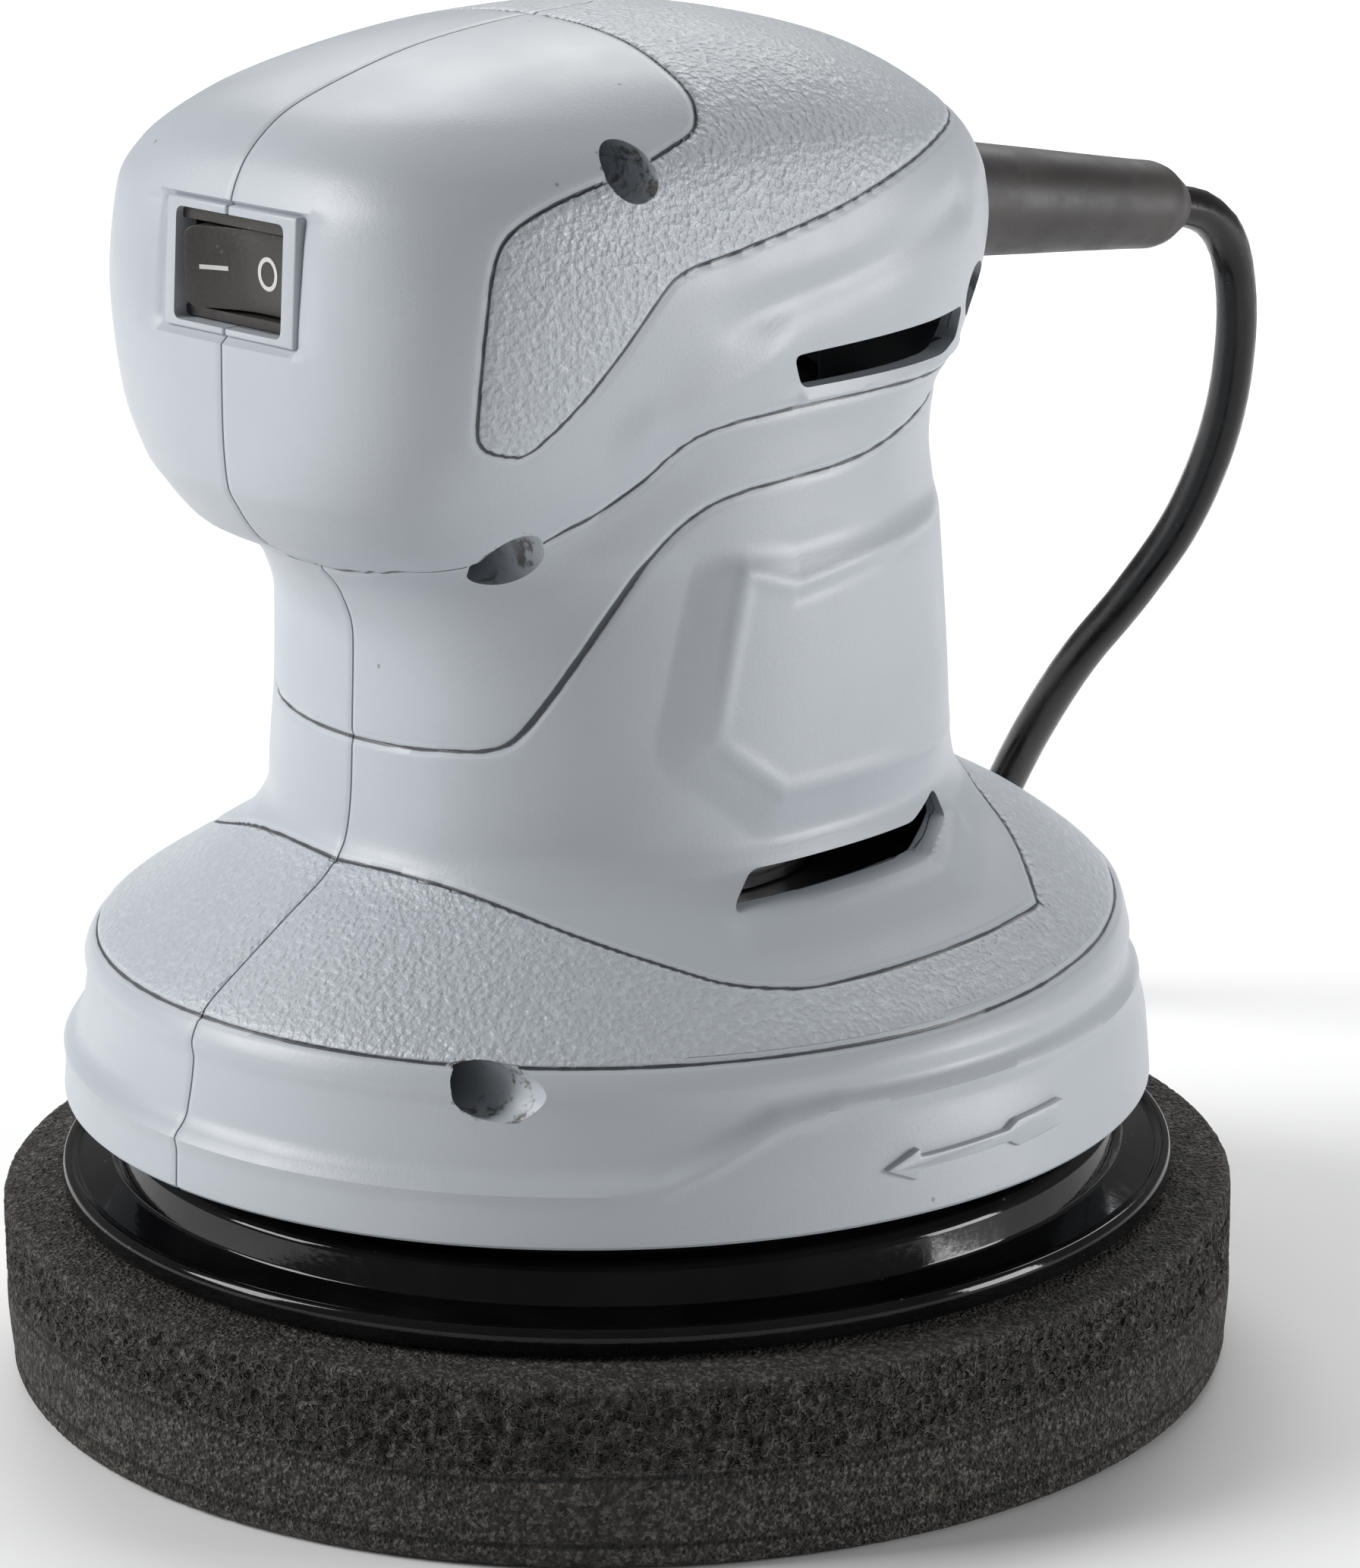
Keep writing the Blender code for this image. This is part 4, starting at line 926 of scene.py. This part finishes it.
def half_mesh(name, side):
    """One housing half as a closed shell: fine displaced outside, plain inside, edges joined."""
    index, angles = even_rows(), column_angles()
    plain = housing_surface(index, angles)
    plain[:, 0, 0] = plain[:, -1, 0] = 0
    normals = surface_normals(plain)
    normals[:, 0, 0] = normals[:, -1, 0] = 0
    lines = MouldedLines(plain)
    flat, flat_normals = plain.reshape(-1, 3), normals.reshape(-1, 3)
    across = lines.signed(flat, flat_normals)[0].reshape(plain.shape[:2])
    outer = plain + normals * (relief(plain, across) + bezel_relief(plain))[..., None]
    rows_in = list(range(0, len(index) - 12, 9)) + [len(index) - 12]
    columns_in = list(range(0, len(angles) - 1, 9)) + [len(angles) - 1]
    inner = (plain - normals * WALL)[np.ix_(rows_in, columns_in)]
    inner[0, :, 2] = plain[0, 0, 2]
    for grid in (outer, inner):
        grid[..., 0] = side * (np.abs(grid[..., 0]) + SEAM)
    # the crown is one point on each skin
    rows, columns = outer.shape[0] - 1, outer.shape[1]
    points = outer[:-1].reshape(-1, 3).tolist() + [(side * SEAM, 0, RINGS[-1][0])]
    crown = len(points) - 1
    start = len(points)
    points += inner.reshape(-1, 3).tolist() + [(side * SEAM, 0, RINGS[-1][0] - WALL)]
    inner_crown = len(points) - 1

    def out(i, k):
        return i * columns + k

    def into(i, k):
        return start + i * len(columns_in) + k

    faces = grid_faces(rows, columns)
    faces += [[out(rows - 1, k), out(rows - 1, k + 1), crown] for k in range(columns - 1)]
    last = len(rows_in) - 1
    faces += [[into(i, k + 1), into(i, k), into(i + 1, k), into(i + 1, k + 1)]
              for i in range(last) for k in range(len(columns_in) - 1)]
    faces += [[into(last, k + 1), into(last, k), inner_crown] for k in range(len(columns_in) - 1)]
    for k, (low, high) in enumerate(zip(columns_in, columns_in[1:])):
        faces.append([out(0, c) for c in range(high, low - 1, -1)] + [into(0, k), into(0, k + 1)])
    for edge, edge_in, flip in ((0, 0, False), (columns - 1, len(columns_in) - 1, True)):
        strips = [[out(r, edge) for r in range(low, high + 1)] + [into(i + 1, edge_in), into(i, edge_in)]
                  for i, (low, high) in enumerate(zip(rows_in, rows_in[1:]))]
        strips.append([out(r, edge) for r in range(rows_in[-1], rows)]
                      + [crown, inner_crown, into(last, edge_in)])
        faces += [strip[::-1] if flip else strip for strip in strips]
    if side < 0:
        faces = [face[::-1] for face in faces]
    shell = new_object(name, points, faces, sharp=0)
    return shell, lines


def add_bosses(shell, side):
    """Screw bosses inside the half, trimmed to end within its wall."""
    index = np.linspace(0, len(RINGS) - 1.25, 70)
    angles = np.radians(np.linspace(-90, 90, 49))
    core = housing_surface(index, angles)
    core[:, 0, 0] = core[:, -1, 0] = 0
    core = core - surface_normals(core) * (WALL / 2)
    core[0, :, 2] = 34.6
    core[..., 0] = side * np.abs(core[..., 0])
    rows, columns = core.shape[:2]
    grid = np.arange(rows * columns).reshape(rows, columns)
    faces = grid_faces(rows, columns)
    faces += [grid[0, ::-1].tolist(), grid[-1].tolist(), grid[:, 0].tolist() + grid[::-1, -1].tolist()]
    if side < 0:
        faces = [face[::-1] for face in faces]
    trim = new_object("boss_trim", core.reshape(-1, 3), faces, sharp=0)
    for y, z in SCREW_SPOTS.values():
        boss = rod("boss", BOSS_R, (side * 0.4, y, z), (side * 70, y, z), 40)
        boolean(boss, trim, "INTERSECT")
        boss_mesh = evaluated_mesh(boss)
        boss.modifiers.clear()
        boss.data = boss_mesh
        boolean(shell, boss, "UNION")
    return trim


def add_bezel(shell, side):
    """The flat frame round the switch, standing just proud of the front."""
    left, right = (SEAM, 12.3) if side > 0 else (-10.8, -SEAM)
    section = [(-51.2, 131.15), (-54.85, 131.15), (-53.8, 145.55), (-51.2, 145.55)]
    frame_block = prism("bezel", section, left, right, "X")
    applied(bevelled(frame_block, 0.3, 3))
    boolean(shell, frame_block, "UNION")
    opening = rounded([(-9.1, 131.95), (10.1, 131.95), (10.1, 144.55), (-9.1, 144.55)], 1.1, 5)
    boolean(shell, prism("window", opening, -70, -50, "Y"))


def add_arrow(shell):
    """The raised arrow on the skirt that shows which way the pad turns."""
    outline = [(-14.9, 40.0), (-10.6, 38.1), (-10.3, 39.4), (3.0, 39.6), (4.6, 38.7), (13.0, 39.2),
               (11.6, 40.4), (13.0, 42.2), (4.4, 41.9), (2.8, 41.1), (-10.3, 40.9), (-10.4, 41.9)]
    fine = []
    for (u0, v0), (u1, v1) in zip(outline, outline[1:] + outline[:1]):
        count = max(1, round(math.hypot(u1 - u0, v1 - v0) / 1.2))
        fine += [(u0 + (u1 - u0) * k / count, v0 + (v1 - v0) * k / count) for k in range(count)]
    arrow = prism("arrow", fine, ARROW_RADIUS - 3, ARROW_RADIUS + 0.62, "X")
    applied(bevelled(arrow, 0.3, 2, 60))
    for vertex in arrow.data.vertices:
        turn = vertex.co.y / (ARROW_RADIUS * MM)
        reach = vertex.co.x
        vertex.co.x, vertex.co.y = reach * math.cos(turn), reach * math.sin(turn)
    boolean(shell, arrow, "UNION")


def store(mesh, name, values):
    mesh.attributes.new(name, "FLOAT", "POINT").data.foreach_set("value", values.astype(np.float32))


def make_half(label, side):
    shell, lines = half_mesh(f"housing_shell_{label}", side)
    trim = add_bosses(shell, side)
    add_bezel(shell, side)
    for outline in VENTS.values():
        low, high = sorted((side * 29, side * 52))
        boolean(shell, prism("vent", rounded(outline, 1.1, 5), low, high, "X"))
    if side > 0:
        for y, z in SCREW_SPOTS.values():
            boolean(shell, rod("recess", RECESS_R, (SCREW_HEAD_X, y, z), (75, y, z), 40))
            boolean(shell, rod("clearance", CLEARANCE_R, (-2, y, z), (SCREW_HEAD_X + 2, y, z), 20))
        add_arrow(shell)
    else:
        for y, z in SCREW_SPOTS.values():
            boolean(shell, rod("pilot", CLEARANCE_R, (-15, y, z), (2, y, z), 20))
    boolean(shell, rod("lead_hole", LEAD_HOLE_R, BOOT_BASE - BOOT_ALONG * 12, BOOT_BASE + BOOT_ALONG * 8, 48))
    applied(shell, 38)
    bpy.data.objects.remove(trim, do_unlink=True)
    mesh = shell.data
    points = np.zeros(len(mesh.vertices) * 3)
    mesh.vertices.foreach_get("co", points)
    points = points.reshape(-1, 3) / MM
    normals = np.array([tuple(n.vector) for n in mesh.vertex_normals])
    points[:, 0] *= side
    normals[:, 0] *= side
    across, near = lines.signed(points, normals)
    recess = np.full(len(points), -1.0)
    if side > 0:
        for y, z in SCREW_SPOTS.values():
            round_screw = np.hypot(points[:, 1] - y, points[:, 2] - z) < 3.5
            recess[round_screw & (points[:, 0] > SCREW_HEAD_X + 1)] = 1.0
    store(mesh, "groove_mm", across)
    # the left half's dark lines follow the signed distance alone
    store(mesh, "near_mm", near * (side < 0))
    store(mesh, "panel_mm", panel_share(points, lines) * np.minimum(np.abs(across), 1.0))
    store(mesh, "recess_mm", recess)
    dress(shell, "housing_plastic", "housing", f"housing_{label}")
    return shell


# ---- switch ---------------------------------------------------------------------------------------
ROCKER_AXIS = Vector((0.4, -47.7, 138.2))
ROCKER_REST = math.radians(10)
ROCKER_HALF_W, ROCKER_HALF_H = 8.0, 4.6


def rocker_face(u):
    """How far in front of its pivot the rocker's face lies, across its width."""
    return 4.5 + 1.6 * (abs(u) / ROCKER_HALF_W) ** 1.7


def make_rocker():
    wide, tall = ROCKER_HALF_W, ROCKER_HALF_H
    face = [(-wide + 0.5 * k, -rocker_face(-wide + 0.5 * k)) for k in range(33)]
    back = [(7.4, -2.6), (3.2, 2.6), (-3.2, 2.6), (-7.4, -2.6)]
    rocker = prism("rocker_cap", face + back, -tall, tall, "Z")
    outline = rounded([(-wide, -tall), (wide, -tall), (wide, tall), (-wide, tall)], 1.7, 6)
    boolean(rocker, prism("rocker_outline", outline, -20, 20, "Y"), "INTERSECT", "EXACT")
    applied(rocker, 30)
    applied(bevelled(rocker, 0.45, 3, 40), 50)
    place = Matrix.Translation(ROCKER_AXIS * MM) @ Matrix.Rotation(ROCKER_REST, 4, "Z")
    rocker.data.transform(place)
    dress(rocker, "black_plastic", "rocker", "switch_rocker")
    white = moulded_plastic("mark_white", (0.62, 0.62, 0.6), 0.5)
    bar = [[(-6.2 + 3.6 * k / 8, v) for k in range(9)] for v in (-0.25, 0.25)]
    ring_mark = [[(3.4 + (1.45 + w) * math.cos(a), (1.65 + w) * math.sin(a))
                  for a in [2 * math.pi * k / 48 for k in range(49)]] for w in (-0.25, 0.25)]
    for name, grid in (("mark_on", bar), ("mark_off", ring_mark)):
        points = [(u, -rocker_face(u) - 0.03, v) for row in grid for u, v in row]
        mark = new_object(name, points, grid_faces(2, len(grid[0])))
        thick = mark.modifiers.new("paint", "SOLIDIFY")
        thick.thickness = 0.05 * MM
        thick.offset = 0
        applied(mark)
        mark.data.transform(place)
        dress(mark, "black_plastic", "rocker")
        mark.data.materials.clear()
        mark.data.materials.append(white)


# ---- pad and plate --------------------------------------------------------------------------------
PAD_AXIS = 1.5
PAD_R, PAD_H = 74.5, 22.0


def make_foam():
    """The foam pad: an open-celled side, coarse in its upper band, with pressed edges."""
    around = 880
    side = [(PAD_R - 1.7, 0.0), (PAD_R - 1.2, 0.35), (PAD_R - 0.75, 1.1)]
    side += [(PAD_R - 0.55 + 0.5 * float(ease((z - 1.1) / 8)), z) for z in np.arange(1.7, 20.6, 0.56)]
    side += [(PAD_R - 0.05, 20.9), (PAD_R - 0.15, 21.4), (PAD_R - 0.55, 21.85)]
    top = [(r, PAD_H - 0.05) for r in np.arange(PAD_R - 1.1, 65.5, -0.62)]
    profile = [(0, 0), (35, 0), (60, 0), (70, 0)] + side + top + [(50, PAD_H - 0.2), (0, PAD_H - 0.2)]
    pad = turned("foam_pad_cells", profile, around, sharp=0)
    mesh = pad.data
    mesh.shade_smooth()
    points = np.array([tuple(v.co) for v in mesh.vertices]) / MM
    radius, z = np.hypot(points[:, 0], points[:, 1]), points[:, 2]
    angle = np.arctan2(points[:, 1], points[:, 0])
    wander = 0.5 * np.sin(3 * angle + 1) + 0.35 * np.sin(7 * angle)
    upper = ease((z - 11.6 - wander) / 1.2) * ease((21.9 - z) / 1.4)
    outer = ease((radius - 72.5) / 1.0)
    coarse = upper * outer
    # distances above the two bonded seams
    seam = z - 11.2 - wander
    seam_low = z - 3.0 - 0.3 * wander
    depth = np.zeros(len(points))
    for i, p in enumerate(points.tolist()):
        if radius[i] < 66 or (z[i] < 0.01 and radius[i] < 72):
            continue
        big = noise.voronoi(Vector(p) / 1.55)[0]
        small = noise.voronoi(Vector(p) / 0.95)[0]
        pit = coarse[i] * max(0.0, 0.62 - big[0]) * 1.5 + (1 - coarse[i]) * max(0.0, 0.5 - small[0]) * 0.55
        depth[i] = pit
    depth += 0.35 * np.exp(-(seam / 0.45) ** 2) * outer + 0.2 * np.exp(-(seam_low / 0.4) ** 2) * outer
    on_side = ease((radius - 72.0) / 1.5)[:, None]
    out = np.stack([np.cos(angle), np.sin(angle), 0 * angle], axis=1)
    inward = -out * on_side + np.array([0, 0, -1.0]) * (1 - on_side) * (z > 10)[:, None]
    points += inward * (depth * (radius > 66))[:, None]
    points[:, 0] += PAD_AXIS
    mesh.vertices.foreach_set("co", (points * MM).ravel())
    store(mesh, "coarse_share", coarse)
    nearest_seam = np.where(np.abs(seam) < np.abs(seam_low), seam, seam_low)
    store(mesh, "seam_mm", np.where(outer > 0.5, nearest_seam, 5.0))
    mesh.update()
    dress(pad, "foam", "pad", "foam_pad")


def make_plate():
    """The gloss backing plate: an upright rim, a bright bead on it, a dished band and a raised middle."""
    profile = [(8.3, 22.3), (66.3, 22.3), (67.3, 22.9), (67.3, 24.9), (66.9, 25.7), (66.0, 25.75),
               (65.3, 25.0), (61.2, 26.3), (60.6, 29.9), (59.6, 31.0), (56.5, 31.0), (56.0, 30.6),
               (54.5, 30.6), (54.0, 31.0), (4.3, 31.0), (4.3, 27.6), (8.3, 27.6)]
    soft = rounded(profile, 0.35, 4)
    plate = turned("backing_plate_disc", soft, 200, Matrix.Translation((PAD_AXIS, 0, 0)), sharp=45)
    dress(plate, "gloss_black_plastic", "pad", "backing_plate")


# ---- screws ---------------------------------------------------------------------------------------
def make_screws():
    """Cross-recess heads at the bottom of the recesses."""
    profile = [(0, -26), (1.2, -25), (1.5, -23.8), (1.5, 0.2), (2.9, 0.3), (2.9, 1.2), (2.4, 1.9),
               (1.4, 2.35), (0, 2.4)]
    lying = Matrix.Rotation(math.radians(90), 4, "Y")
    for label, (y, z) in SCREW_SPOTS.items():
        screw = turned(f"screw_{label}", profile, 40, sharp=30)
        for k in range(2):
            slot = prism("cross", [(-1.5, -0.3), (1.5, -0.3), (1.5, 0.3), (-1.5, 0.3)], 1.0, 4)
            slot.data.transform(Matrix.Rotation(math.radians(20 + 90 * k), 4, "Z"))
            boolean(screw, slot)
        applied(screw, 30)
        screw.data.transform(Matrix.Translation(Vector((SCREW_HEAD_X + 0.3, y, z)) * MM) @ lying)
        dress(screw, "dark_steel", "housing", f"housing_screw_{label}")


def finish_carried_nodes():
    """Give every CAD node that still shows its material, and break the edges of the visible ones."""
    slots = {row["node"]: row["material_slot"] for row in frame["record"]["subparts"]}
    for name, node in frame["nodes"].items():
        node.data.materials.clear()
        node.data.materials.append(finishes[slots[name]])
        if not node.hide_render:
            bevelled(node, 0.2, 2, 50)


make_camera()
finishes = make_finishes()
make_boot()
make_plug()
make_tie()
make_lead()
make_half("left", 1)
make_half("right", -1)
make_rocker()
make_foam()
make_plate()
make_screws()
finish_carried_nodes()
make_studio()
